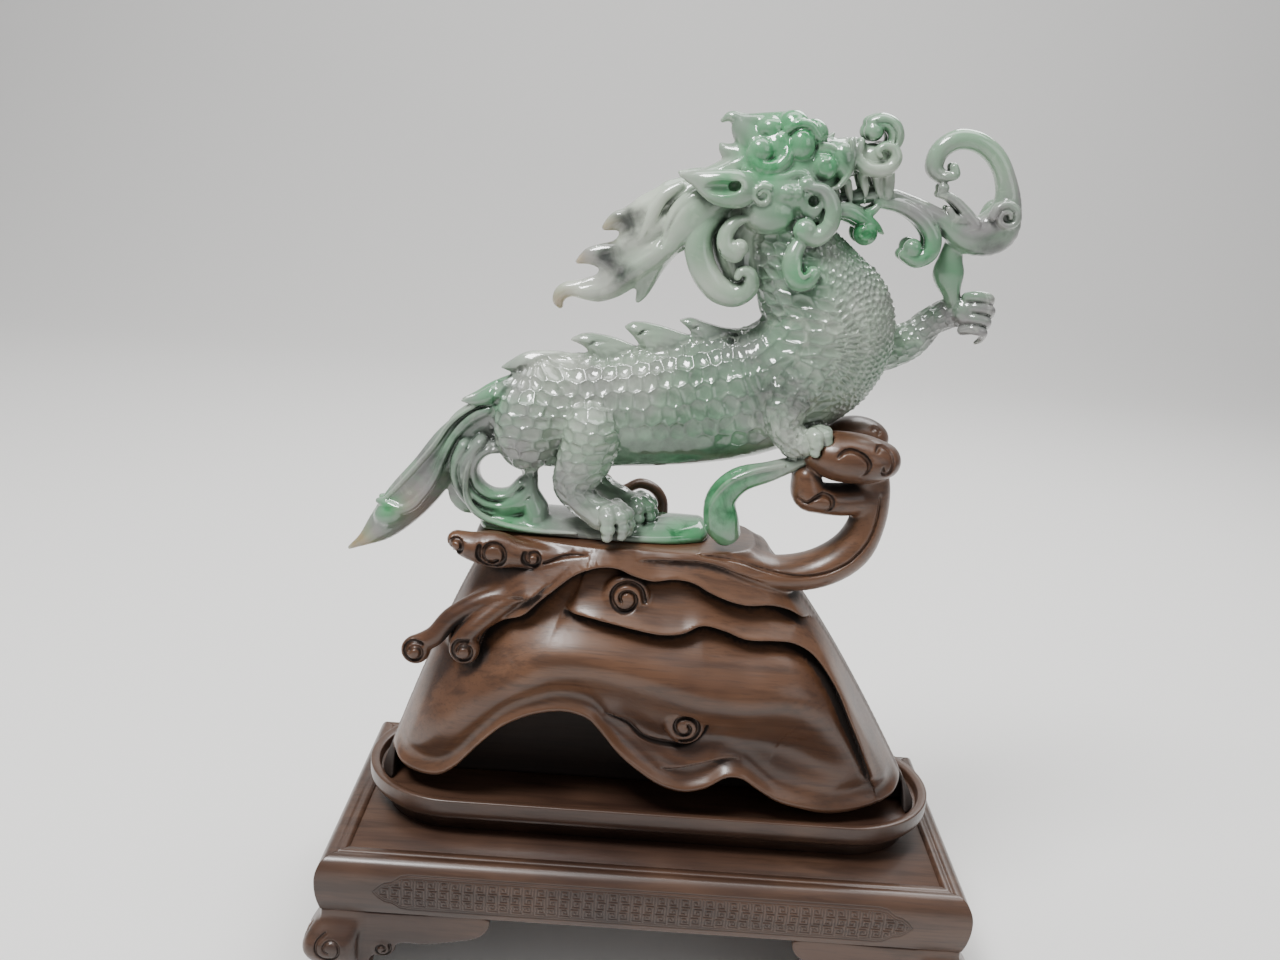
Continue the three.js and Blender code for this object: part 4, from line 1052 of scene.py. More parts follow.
@dataclass
class Skin:
    """Corner points in millimetres and faces of three or four corners."""

    points: np.ndarray
    faces: np.ndarray

    def normals(self) -> np.ndarray:
        """Works out a unit normal at each point from the four cornered faces round it."""
        corners = self.points[self.faces]
        face = np.cross(corners[:, 2] - corners[:, 0], corners[:, 3] - corners[:, 1])
        around = [np.bincount(self.faces.ravel(), np.repeat(part, 4), len(self.points)) for part in face.T]
        total = np.stack(around, axis=1)
        return total / np.maximum(np.linalg.norm(total, axis=1), 1e-9)[:, None]

    def mesh(self, name: str) -> bpy.types.Object:
        """Makes a Blender object of the skin, in metres.

        Args:
            name: The object's name.

        Returns:
            The linked object.
        """
        corners = self.faces.shape[1]
        mesh = bpy.data.meshes.new(name)
        mesh.vertices.add(len(self.points))
        mesh.vertices.foreach_set("co", (self.points * MM).astype(np.float32).ravel())
        mesh.loops.add(self.faces.size)
        mesh.loops.foreach_set("vertex_index", self.faces.astype(np.int32).ravel())
        mesh.polygons.add(len(self.faces))
        mesh.polygons.foreach_set("loop_start", np.arange(len(self.faces), dtype=np.int32) * corners)
        mesh.update(calc_edges=True)
        mesh.validate()
        mesh.shade_smooth()
        made = bpy.data.objects.new(name, mesh)
        bpy.context.scene.collection.objects.link(made)
        return made


def read_points(made: bpy.types.Object) -> np.ndarray:
    """Reads an object's points back in millimetres.

    Args:
        made: A mesh object.

    Returns:
        Rows of x, y and z.
    """
    flat = np.empty(len(made.data.vertices) * 3, np.float32)
    made.data.vertices.foreach_get("co", flat)
    return flat.reshape(-1, 3).astype(float) / MM


def thin(made: bpy.types.Object, triangles: int) -> None:
    """Thins a dense mesh to about a number of triangles.

    Args:
        made: The object, whose mesh is replaced.
        triangles: How many triangles to keep.
    """
    count = len(made.data.loops) - 2 * len(made.data.polygons)
    if count <= triangles:
        return
    modifier = made.modifiers.new("thin", "DECIMATE")
    modifier.ratio = triangles / count
    graph = bpy.context.evaluated_depsgraph_get()
    thinned = bpy.data.meshes.new_from_object(made.evaluated_get(graph))
    made.modifiers.clear()
    old = made.data
    made.data = thinned
    bpy.data.meshes.remove(old)
    thinned.name = made.name
    thinned.shade_smooth()


def paint(made: bpy.types.Object, name: str, values: np.ndarray) -> None:
    """Keeps a number at each point as an attribute.

    Args:
        made: The object.
        name: The attribute's name.
        values: One number for each point.
    """
    layer = made.data.attributes.new(name, "FLOAT", "POINT")
    layer.data.foreach_set("value", values.astype(np.float32))


# Shaders


class Signal:
    """One output of a shader tree, on which arithmetic builds further nodes."""

    def __init__(self, tree: "Finish", socket: bpy.types.NodeSocket) -> None:
        """Keeps the socket.

        Args:
            tree: The material that the socket is in.
            socket: The output socket.
        """
        self.tree = tree
        self.socket = socket

    def _maths(self, operation: str, first: "Signal | float", second: "Signal | float") -> "Signal":
        return self.tree.node("ShaderNodeMath", {"operation": operation}, {0: first, 1: second})

    def __add__(self, other: "Signal | float") -> "Signal":
        return self._maths("ADD", self, other)

    def __radd__(self, other: float) -> "Signal":
        return self._maths("ADD", other, self)

    def __sub__(self, other: "Signal | float") -> "Signal":
        return self._maths("SUBTRACT", self, other)

    def __rsub__(self, other: float) -> "Signal":
        return self._maths("SUBTRACT", other, self)

    def __mul__(self, other: "Signal | float") -> "Signal":
        return self._maths("MULTIPLY", self, other)

    def __rmul__(self, other: float) -> "Signal":
        return self._maths("MULTIPLY", other, self)

    def between(self, low: float, high: float) -> "Signal":
        """Eases from 0 at low to 1 at high."""
        return self.tree.node("ShaderNodeMapRange", {"interpolation_type": "SMOOTHSTEP"},
            {"Value": self, "From Min": low, "From Max": high})

    def clamp(self) -> "Signal":
        """Keeps the number between 0 and 1."""
        return self.tree.node("ShaderNodeClamp", {}, {"Value": self})


Colour = tuple[float, float, float]


class Finish:
    """A material under construction."""

    def __init__(self, name: str) -> None:
        """Makes an empty material.

        Args:
            name: The material's name.
        """
        self.material = bpy.data.materials.new(name)
        self.material.use_nodes = True
        self.nodes = self.material.node_tree.nodes
        self.links = self.material.node_tree.links
        self.nodes.clear()

    def node(
        self, kind: str, settings: dict[str, object], values: dict[int | str, object], output: int | str = 0
    ) -> Signal:
        """Makes a node.

        Args:
            kind: The node's type.
            settings: Its properties.
            values: What goes into its sockets, by name or number.
            output: Which output to give back.

        Returns:
            The chosen output.
        """
        made = self.nodes.new(kind)
        for key, value in settings.items():
            setattr(made, key, value)
        for key, value in values.items():
            socket = made.inputs[key]
            if isinstance(value, Signal):
                self.links.new(value.socket, socket)
            elif isinstance(value, tuple) and len(value) == 3 and len(socket.default_value) == 4:
                socket.default_value = (*value, 1.0)
            else:
                socket.default_value = value
        return Signal(self, made.outputs[output])

    def place(self) -> Signal:
        """Gives the point on the object, in metres."""
        return self.node("ShaderNodeTexCoord", {}, {}, "Object")

    def stretched(self, place: Signal, scale: Row) -> Signal:
        """Scales a place by axis."""
        return self.node("ShaderNodeVectorMath", {"operation": "MULTIPLY"}, {0: place, 1: tuple(scale)})

    def noise(self, place: Signal, scale: float, detail: float = 3.0, distortion: float = 0.0,
            rough: float = 0.55) -> Signal:
        """Gives fractal noise between 0 and 1."""
        return self.node("ShaderNodeTexNoise", {},
            {"Vector": place, "Scale": scale, "Detail": detail, "Roughness": rough,
            "Distortion": distortion})

    def attribute(self, name: str) -> Signal:
        """Reads a number kept at the mesh's points."""
        return self.node("ShaderNodeAttribute", {"attribute_name": name}, {}, "Fac")

    def blend(self, factor: Signal, first: "Signal | Colour", second: "Signal | Colour") -> Signal:
        """Mixes two colours."""
        return self.node("ShaderNodeMix", {"data_type": "RGBA"}, {0: factor, 6: first, 7: second}, 2)

    def shade(self, values: dict[str, object]) -> bpy.types.Material:
        """Ends the material in a Principled shader.

        Args:
            values: What goes into the shader's sockets.

        Returns:
            The finished material.
        """
        shader = self.node("ShaderNodeBsdfPrincipled", {}, values)
        out = self.nodes.new("ShaderNodeOutputMaterial")
        self.links.new(shader.socket, out.inputs["Surface"])
        return self.material


@dataclass(frozen=True)
class Jade:
    """Polished jade: grey-green and lavender, with emerald, ink and ochre blooms read from the mesh."""

    body: Colour = (0.19, 0.265, 0.195)
    lavender: Colour = (0.21, 0.2, 0.2)
    milk: Colour = (0.52, 0.56, 0.47)
    green: Colour = (0.075, 0.29, 0.125)
    emerald: Colour = (0.008, 0.13, 0.035)
    ink: Colour = (0.018, 0.02, 0.02)
    ochre: Colour = (0.34, 0.21, 0.085)
    # painted shade: the dark green that hollows and the seams between scales are darkened towards
    painted_shade_colour: Colour = (0.03, 0.045, 0.033)

    def material(self) -> bpy.types.Material:
        """Builds the jade."""
        f = Finish("jade")
        place = f.place()
        cloud = f.noise(place, 26, 4, 0.6)
        vein = f.noise(place, 62, 5, 1.4)
        patch = f.noise(place, 95, 4, 0.8)
        speck = f.noise(place, 260, 3)
        colour = f.blend(cloud.between(0.42, 0.6), self.body, self.lavender)
        colour = f.blend(vein.between(0.55, 0.72) * 0.55, colour, self.milk)
        colour = f.blend((f.attribute("pale") * (0.45 + cloud)).clamp(), colour, self.milk)
        green = (f.attribute("green") * (0.35 + 1.3 * vein)).clamp()
        colour = f.blend(green, colour, self.green)
        colour = f.blend((green * patch).between(0.38, 0.66) * 0.8, colour, self.emerald)
        ink = (f.attribute("ink") + patch * 0.75 + vein * 0.65 - 0.86).between(-0.05, 0.7) * 0.9
        colour = f.blend(ink, colour, self.ink)
        colour = f.blend((f.attribute("ochre") * (0.3 + 1.2 * vein)).clamp(), colour, self.ochre)
        # Painted highlight on sharp edges and on the tops of the scales.
        colour = f.blend(f.attribute("edge") * 0.3, colour, self.milk)
        # Painted shade in hollows and in the seams between scales.
        colour = f.blend((f.attribute("cavity") * 0.8).clamp(), colour, self.painted_shade_colour)
        return f.shade(
            {
                "Base Color": colour,
                "Roughness": 0.07 + speck * 0.1,
                "IOR": 1.66,
                "Subsurface Weight": 0.1,
                "Subsurface Radius": (0.8, 1.0, 0.8),
                "Subsurface Scale": 0.0016,
                "Coat Weight": 0.5,
                "Coat Roughness": 0.03,
            }
        )


@dataclass(frozen=True)
class Rosewood:
    """Satin polished hardwood with its grain along X."""

    name: str
    dark: Colour
    mid: Colour
    light: Colour
    # how strongly edges are lightened: partly rubbed wear, partly painted highlight
    edge_wear_and_highlight: float = 0.5
    # painted shade: the near-black that hollows, fret grounds and the cave are darkened towards
    painted_shade_colour: Colour = (0.006, 0.003, 0.002)

    def material(self) -> bpy.types.Material:
        """Builds the wood."""
        f = Finish(self.name)
        place = f.place()
        grain = f.noise(f.stretched(place, (6, 60, 52)), 2.4, 6, 0.6, 0.6)
        fibre = f.noise(f.stretched(place, (26, 520, 520)), 1.6, 3)
        cloud = f.noise(place, 11, 3)
        colour = f.blend(cloud.between(0.36, 0.62), self.mid, self.light)
        colour = f.blend(grain.between(0.42, 0.68) * 0.55, colour, self.dark)
        colour = f.blend(fibre.between(0.5, 0.75) * 0.4, colour, self.dark)
        # Lighter edges: partly rubbed wear, partly painted highlight.
        colour = f.blend((f.attribute("edge") * self.edge_wear_and_highlight).clamp(), colour, self.light)
        # Painted shade in hollows, fret grounds and the cave.
        colour = f.blend((f.attribute("cavity") * 0.9).clamp(), colour, self.painted_shade_colour)
        bump = f.node("ShaderNodeBump", {}, {"Strength": 0.12, "Distance": 0.0004, "Height": fibre})
        return f.shade(
            {
                "Base Color": colour,
                "Roughness": 0.28 + fibre * 0.14 + f.attribute("cavity") * 0.4,
                "Coat Weight": 0.2 - 0.2 * f.attribute("cavity"),
                "Coat Roughness": 0.2,
                "Normal": bump,
            }
        )


@dataclass(frozen=True)
class Plain:
    """One colour all over."""

    name: str
    colour: Colour
    roughness: float

    def material(self) -> bpy.types.Material:
        """Builds the plain finish."""
        return Finish(self.name).shade({"Base Color": self.colour, "Roughness": self.roughness})


def dress(made: bpy.types.Object, material: bpy.types.Material) -> None:
    """Gives an object its only material.

    Args:
        made: The object.
        material: The material.
    """
    made.data.materials.clear()
    made.data.materials.append(material)


# The jade's surface


def scatter(column: np.ndarray, row: np.ndarray, seed: float) -> np.ndarray:
    """Gives each cell of a grid its own number between 0 and 1.

    Args:
        column: Whole numbers.
        row: Whole numbers.
        seed: Picks another set of numbers.

    Returns:
        Numbers that look random and stay the same on every run.
    """
    mixed = np.sin(column * 12.9898 + row * 78.233 + seed * 37.719) * 43758.5453
    return mixed - np.floor(mixed)


def mosaic(u: np.ndarray, v: np.ndarray, jitter: float = 0.55) -> np.ndarray:
    """Gives the relief of pebbles set close together, 1 on top and 0 between them.

    Args:
        u: Place along the rows, in pebbles.
        v: Place across the rows, in pebbles.
        jitter: How far the pebbles stray from an even grid.

    Returns:
        Heights between 0 and 1.
    """
    first = np.full(u.shape, 9.0)
    second = first.copy()
    for i in (-1, 0, 1):
        for j in (-1, 0, 1):
            row = np.floor(v) + j
            shift = 0.5 * np.mod(row, 2)
            column = np.floor(u - shift) + i
            away = np.hypot(
                u - shift - column - 0.5 - jitter * (scatter(column, row, 1) - 0.5),
                v - row - 0.5 - jitter * (scatter(column, row, 2) - 0.5),
            )
            second = np.minimum(second, np.maximum(first, away))
            first = np.minimum(first, away)
    return smoothstep(0.0, 0.32, second - first) * (1 - first**2)


@dataclass
class Bloom:
    """A soft patch of colour in the stone, on the figure's grid."""

    x: float
    z: float
    radius: float
    strength: float


TINTS: dict[str, list[Bloom]] = {"green": [Bloom(42, 198, 22, 1.0), Bloom(30, 186, 14, 1.1),
    Bloom(60, 188, 12, 0.9), Bloom(12, 174, 9, 0.9), Bloom(50, 160, 18, 0.6), Bloom(80, 160, 14, 1.0),
    Bloom(52, 138, 12, 0.8), Bloom(110, 150, 12, 0.8), Bloom(126, 140, 12, 0.6), Bloom(125, 200, 20, 0.5),
    Bloom(82, 204, 12, 0.7), Bloom(26, 28, 22, 1.1), Bloom(10, 2, 26, 0.9), Bloom(-80, 4, 20, 0.8),
    Bloom(-142, 4, 8, 1.0), Bloom(104, 98, 20, 0.45), Bloom(30, 120, 22, 0.35), Bloom(8, 90, 26, 0.3),
    Bloom(-110, 44, 18, 0.35), Bloom(4, 152, 20, 0.35), Bloom(10, 48, 36, 0.45), Bloom(-22, 48, 26, 0.4),
    Bloom(-92, 66, 9, 0.7), Bloom(-86, 16, 16, 0.5)],
    "ink": [Bloom(42, 84, 16, 0.55), Bloom(56, 78, 12, 0.5), Bloom(-31, 154, 9, 0.75),
    Bloom(-39, 138, 9, 0.75), Bloom(-32, 129, 8, 0.6), Bloom(-4, 166, 12, -0.6), Bloom(6, 42, 36, 0.5),
    Bloom(-104, 24, 14, 0.45), Bloom(-118, 30, 14, 0.55), Bloom(-104, 48, 10, 0.4),
    Bloom(142, 150, 12, 0.8), Bloom(4, 78, 26, 0.35), Bloom(70, 190, 10, 0.4), Bloom(-60, 74, 20, 0.25),
    Bloom(-44, 16, 14, 0.2), Bloom(56, 124, 10, 0.3)],
    "ochre": [Bloom(-60, 113, 7, 0.7), Bloom(-41, 150, 5, 0.5), Bloom(-53, 133, 5, 0.5),
    Bloom(-158, -17, 9, 0.8), Bloom(-128, 6, 10, 0.25)],
    "pale": [Bloom(-20, 158, 26, 1.0), Bloom(-52, 120, 14, 0.9), Bloom(-40, 122, 18, 0.5),
    Bloom(14, 132, 16, 0.8), Bloom(18, 150, 12, 0.8), Bloom(10, 178, 14, 0.6), Bloom(86, 112, 22, 0.6),
    Bloom(-44, 58, 22, 0.5), Bloom(-62, 86, 18, 0.8), Bloom(-20, 88, 26, 0.5), Bloom(60, 60, 18, 0.6),
    Bloom(60, 150, 16, 0.5), Bloom(82, 190, 16, 0.7), Bloom(130, 198, 20, 0.5), Bloom(-36, 8, 14, 0.4)]}


CHEST = (60.0, 0.0, 105.0)  # middle of the chest, over the stone's underside


class Qilin:
    """The carved jade, one stone."""

    TRIANGLES = 190000
    RELIEFS = (1.25, 1.05, 0.9, 1.0, 0.8)  # how far the scales stand out on each scaled bar
    BEADS_APART = 3.4

    def build(self) -> bpy.types.Object:
        """Sculpts the stone.

        Returns:
            The finished object.
        """
        clay = Clay((-168, -38, -26), (160, 38, 218), voxel(JADE_VOXEL))
        body = Body(clay)
        body.build()
        self.flatten(clay)
        Head(clay).build()
        self.beads(clay)
        skin = Skin(*clay.surface())
        relief = self.scales(skin.points, body.scaled)
        skin.points = skin.points + skin.normals() * relief[:, None]
        skin.points[:, 2] += JADE_FLOOR
        made = skin.mesh("qilin")
        thin(made, self.TRIANGLES)
        self.tint(made, body.scaled, clay)
        return made

    def flatten(self, clay: Clay) -> None:
        """Cuts the stone's underside flat where it rests."""
        x, _, z = clay.axes
        rest = (x > -100 * STEP) & (x < 30 * STEP)
        clay.field[rest] = np.maximum(clay.field[rest], -z[None, None, :])

    def beads(self, clay: Clay) -> None:
        """Sets beads along the edge of the chest, sunk a little in its surface."""
        edge = smooth_rows([(64, 0, 142), (77, 0, 140), (93, 0, 131), (101, 0, 117), (104, 0, 105),
            (102, 0, 87), (93, 0, 75), (81, 0, 66)], 12)
        middle = np.array(CHEST)
        travelled = np.concatenate([[0], np.cumsum(np.linalg.norm(np.diff(edge, axis=0), axis=1))])
        for way in np.arange(1.5, travelled[-1], self.BEADS_APART):
            outer = np.array([np.interp(way, travelled, edge[:, i]) for i in range(3)])
            inward = (middle - outer) / np.linalg.norm(middle - outer)
            path = outer + inward * np.arange(-6, 16, 0.3)[:, None]
            inside = np.flatnonzero(clay.sample(path) < 0)
            if len(inside):
                clay.add(Ball(path[inside[0]] + inward * 0.5, (1.8, 2.2, 1.8)), 0.3)

    def chest(self, points: np.ndarray) -> np.ndarray:
        """Gives the relief of the chest's pebbles, large at its sides and small along its edge.

        Args:
            points: Rows of x, y and z, with the stone's underside at 0.

        Returns:
            Heights in millimetres.
        """
        x, z = points[:, 0] - CHEST[0], points[:, 2] - CHEST[2]
        reach, wide = 36.0, 25.4  # radii of the chest round its middle and across
        around = np.arctan2(z, x) * reach
        across = wide * np.arcsin(np.clip(points[:, 1] / wide, -1, 1))
        large = mosaic(around / 5.4, across / 5.0 + 40, 0.5)
        small = mosaic(around / 3.4, across / 3.2 + 40, 0.4)
        front = smoothstep(24, 31, np.hypot(x, z))
        return 1.2 * large * (1 - front) + 0.95 * small * front

    def scales(self, points: np.ndarray, limbs: list[Limb]) -> np.ndarray:
        """Works out how far the scales stand out at each point.

        Args:
            points: The points, with the stone's underside at 0.
            limbs: The scaled bars: trunk, hind legs, foreleg and raised arm.

        Returns:
            Heights in millimetres.
        """
        nearest = np.full(len(points), 1e3)
        relief = np.zeros(len(points))
        for number, (limb, most) in enumerate(zip(limbs, self.RELIEFS)):
            low, high = limb.bounds()
            close = np.all((points > low - 3) & (points < high + 3), axis=1)
            picked = points[close]
            x, y, z = picked.T
            away, travelled, turn = limb.nearest(picked)
            if number:
                height = most * mosaic(turn * 10.5 / 5.6, (z if number < 3 else travelled) / 5.2, 0.45)
            else:
                haunch = 17 * np.arctan2(np.abs(y), x - RUMP)
                around = np.where(x < -30, haunch, 19 * np.mod(turn + math.pi / 2, 2 * math.pi))
                pebbles = mosaic(around / 6.2, z / 5.6, 0.45)
                plates = mosaic(travelled / 7.8, np.mod(turn / (2 * math.pi) + 0.25, 1) * 22, 0.3)
                middle = smoothstep(-58, -50, x) * smoothstep(52, 42, x) * smoothstep(112, 104, z)
                chest = smoothstep(-2.5, 2.5, x - (72 - 0.5 * np.maximum(z - 118, 0)))
                belly = 1 - 0.92 * smoothstep(62, 50, z) * smoothstep(-56, -40, x)
                coat = belly * most * (middle * plates + (1 - middle) * pebbles)
                height = coat * (1 - chest) + chest * self.chest(picked)
                away = np.where((np.abs(x - RUMP) < 19) & (z < 76), np.minimum(np.abs(away), 0.4), away)
            fade = 1 - smoothstep(0.5, 2.0, np.abs(away))
            if number == 1:
                fade = np.where(z > 26, 1.0, fade)
            if number in (1, 2):
                fade = fade * smoothstep(19, 25, z)
            better = np.abs(away) < nearest[close]
            relief[close] = np.where(better, height * fade, relief[close])
            nearest[close] = np.where(better, np.abs(away), nearest[close])
        return relief

    def tint(self, made: bpy.types.Object, limbs: list[Limb], clay: Clay) -> None:
        """Keeps colour blooms, painted shade in hollows and seams, and painted highlights on edges as
        attributes.

        Args:
            made: The thinned stone.
            limbs: The scaled bars.
            clay: The block that the stone was cut from.
        """
        points = read_points(made)
        points[:, 2] -= JADE_FLOOR
        x, z = points[:, 0] / STEP, points[:, 2] / STEP
        for name, blooms in TINTS.items():
            total = np.zeros(len(points))
            for bloom in blooms:
                away = ((x - bloom.x) ** 2 + (z - bloom.z) ** 2) / bloom.radius**2
                total = np.maximum(total, bloom.strength * np.exp(-away))
            paint(made, name, total)
        relief = self.scales(points, limbs)
        hollow, sharp = clay.shading(points, 2.4)
        # Painted shade in the seams between the scales and in the hollows.
        scale_seam_shade = np.where(relief > 0, smoothstep(0.5, 0.05, relief), 0) * 0.4
        paint(made, "cavity", np.maximum(scale_seam_shade, smoothstep(0.3, 0.95, hollow)))
        # Painted highlight on sharp edges and on the tops of the scales.
        paint(made, "edge", np.maximum(smoothstep(0.3, 0.9, sharp), 0.6 * smoothstep(0.7, 1.1, relief)))


# The rockwork

ROCK_TOP = 229.5
ROCK_HEIGHT = 141.2
ROCK_WAIST = 26.0
ROCK_ENDS = (-84 * STEP, 44 * STEP)
ROCK_FOOT = (144.6, 42.0)
ROCK_SQUARENESS = 3.0
CAVE_BACK = -8.0
CAVE_END = 136.0


@dataclass(frozen=True)
class Fold:
    """A fold's edge on the rockwork's face: rows of x, height under the top and how far it stands out."""

    rows: tuple[Row, ...]
    fade: float
    undercut: float
    ROUND = 2.2
    FULL = 9.0
    FADE_UNDER = 7

    def relief(self, x: np.ndarray, z: np.ndarray) -> np.ndarray:
        """Gives how far the face stands out; the upper side swells and the lower side is cut under."""
        away, (stand,) = Track(self.rows).measure(x, z)
        edge = np.sqrt(np.clip(1 - (1 - np.clip(away / self.ROUND, 0, 1)) ** 2, 0, 1))
        under = -self.undercut * stand / self.FULL
        above = stand * np.exp(-np.maximum(away, 0) / self.fade)
        below = under * np.exp(np.minimum(away, 0) / self.FADE_UNDER)
        return np.where(away > 0, above * edge + under * (1 - edge), below)


@dataclass(frozen=True)
class Ridge:
    """A soft ridge or valley: rows of x, height under the top, how far it stands out and its width."""

    rows: tuple[Row, ...]

    def relief(self, x: np.ndarray, z: np.ndarray) -> np.ndarray:
        """Gives how far the face stands out."""
        away, (stand, wide) = Track(self.rows).measure(x, z)
        return stand * np.exp(-((away / wide) ** 2))


FOLDS = (Fold(((-94, -66, 0), (-88.6, -49, 6), (-80, -41.5, 8), (-69.5, -37, 9), (-61, -28.6, 10),
    (-52.5, -20.4, 10), (-44, -13.7, 9), (-33.8, -9.6, 9), (-25, -9.6, 9), (-17.8, -12.5, 9),
    (-7, -15, 8.5), (3.3, -13.8, 8), (12.2, -14.6, 8), (21.3, -18.6, 9), (32.3, -22.5, 9.5),
    (41.3, -24.3, 9.5), (52, -24.5, 9.5), (61, -27, 9), (72.3, -33, 8), (83.7, -39.7, 6), (92, -47, 1)), 13,
    7),
    Fold(((-50, -32.6, 0), (-46.5, -34, 4), (-35.8, -35.3, 7), (-23.3, -37.2, 8), (-12.5, -38.9, 8.5),
    (0, -40.3, 8.5), (10.6, -39.1, 8.5), (19.2, -35.6, 8.5), (30, -37.6, 8.5), (41, -41, 8.5),
    (55.4, -41.5, 8.5), (66, -43.2, 8.5), (75, -48, 8.5), (83, -56.5, 8.5), (90, -67, 8), (96, -79, 8),
    (102, -91, 7), (107, -102, 6), (112, -113, 4)), 11, 8),
    Fold(((-16, -5.5, 0), (-11.5, -4.8, 2), (2.5, -4, 4), (15, -4, 4), (25.7, -6, 5), (34.8, -9, 6),
    (45.8, -12, 5), (54, -13.6, 2)), 8, 2),
    Fold(((-117, -62, 0), (-115, -57.5, 4), (-111, -47.4, 5), (-102.3, -39, 5.5), (-86.4, -30.5, 5),
    (-70, -26, 2)), 6, 5),
    Fold(((-107, -62, 0), (-106.4, -53, 5), (-100.4, -42.7, 6), (-88, -35, 6), (-75.7, -31.2, 5),
    (-66.9, -27.1, 4), (-58, -19, 1)), 5, 5),
    Fold(((3, -114, 0), (11, -113.4, 2.5), (23.4, -109.6, 3.5), (37.6, -106.5, 3), (46, -107.4, 0)), 6, 3))
RIDGES = (Ridge(((-128, -113, 4.1, 12), (-111, -100, 9.5, 15), (-98.7, -89, 10.8, 17),
    (-86.5, -78, 12.2, 18), (-72.6, -67.6, 12.2, 18), (-58.9, -59, 12.2, 17), (-44.9, -56, 12.2, 16),
    (-29, -56.4, 12.2, 16), (-11, -58.8, 12.2, 17), (7, -62.6, 13.5, 18), (25, -66.5, 14.9, 19),
    (43, -67.3, 15.5, 20), (60.4, -66, 16.2, 20), (74.8, -68, 16.2, 20), (86.4, -75.8, 14.9, 18),
    (96.9, -87.9, 12.2, 15), (108, -102, 8.1, 13), (118, -114, 4.1, 12))),
    Ridge(((-24, -84, 0, 7), (-14, -90, -3, 7), (-4, -96, -4.5, 7), (8, -99, -5, 8), (20, -97, -5, 9),
    (32, -95, -5, 10), (48, -97, -5, 11), (64, -102, -4, 11), (83, -110, -3, 10), (97, -118, 0, 9))),
    Ridge(((70, -34, 3, 6), (84, -44, 3.4, 6), (97, -58, 3.6, 5), (106, -70, 3.6, 4), (112, -82, 3.4, 4),
    (117, -94, 3, 4), (124, -108, 2, 5))),
    Ridge(((-70, -20, 4, 12), (-50, -10, 3, 12), (-30, -4, 2, 10))))
SKIRT = ((-140, -122), (-131, -128), (-121, -130), (-110, -128.4), (-101, -121), (-94, -112),
    (-85.5, -101.6), (-77, -93), (-66.4, -87), (-54, -83.6), (-43.4, -83.6), (-33.6, -87), (-26.7, -94),
    (-17, -105), (-5.6, -114), (5.8, -121), (17, -123.6), (27.6, -120.6), (37.9, -114), (45.6, -114),
    (54.9, -120), (64.6, -126.4), (78, -131), (94, -134), (114, -131), (131, -125), (141, -119))
# X, height, radius, start and turns of the engraved spirals, and how far their bosses stand out.
SPIRALS = ((-19.4, -24.4, 11.4, 0.98, 1.6, 4), (14.5, -87.5, 10, 0.72, 1.4, 4))


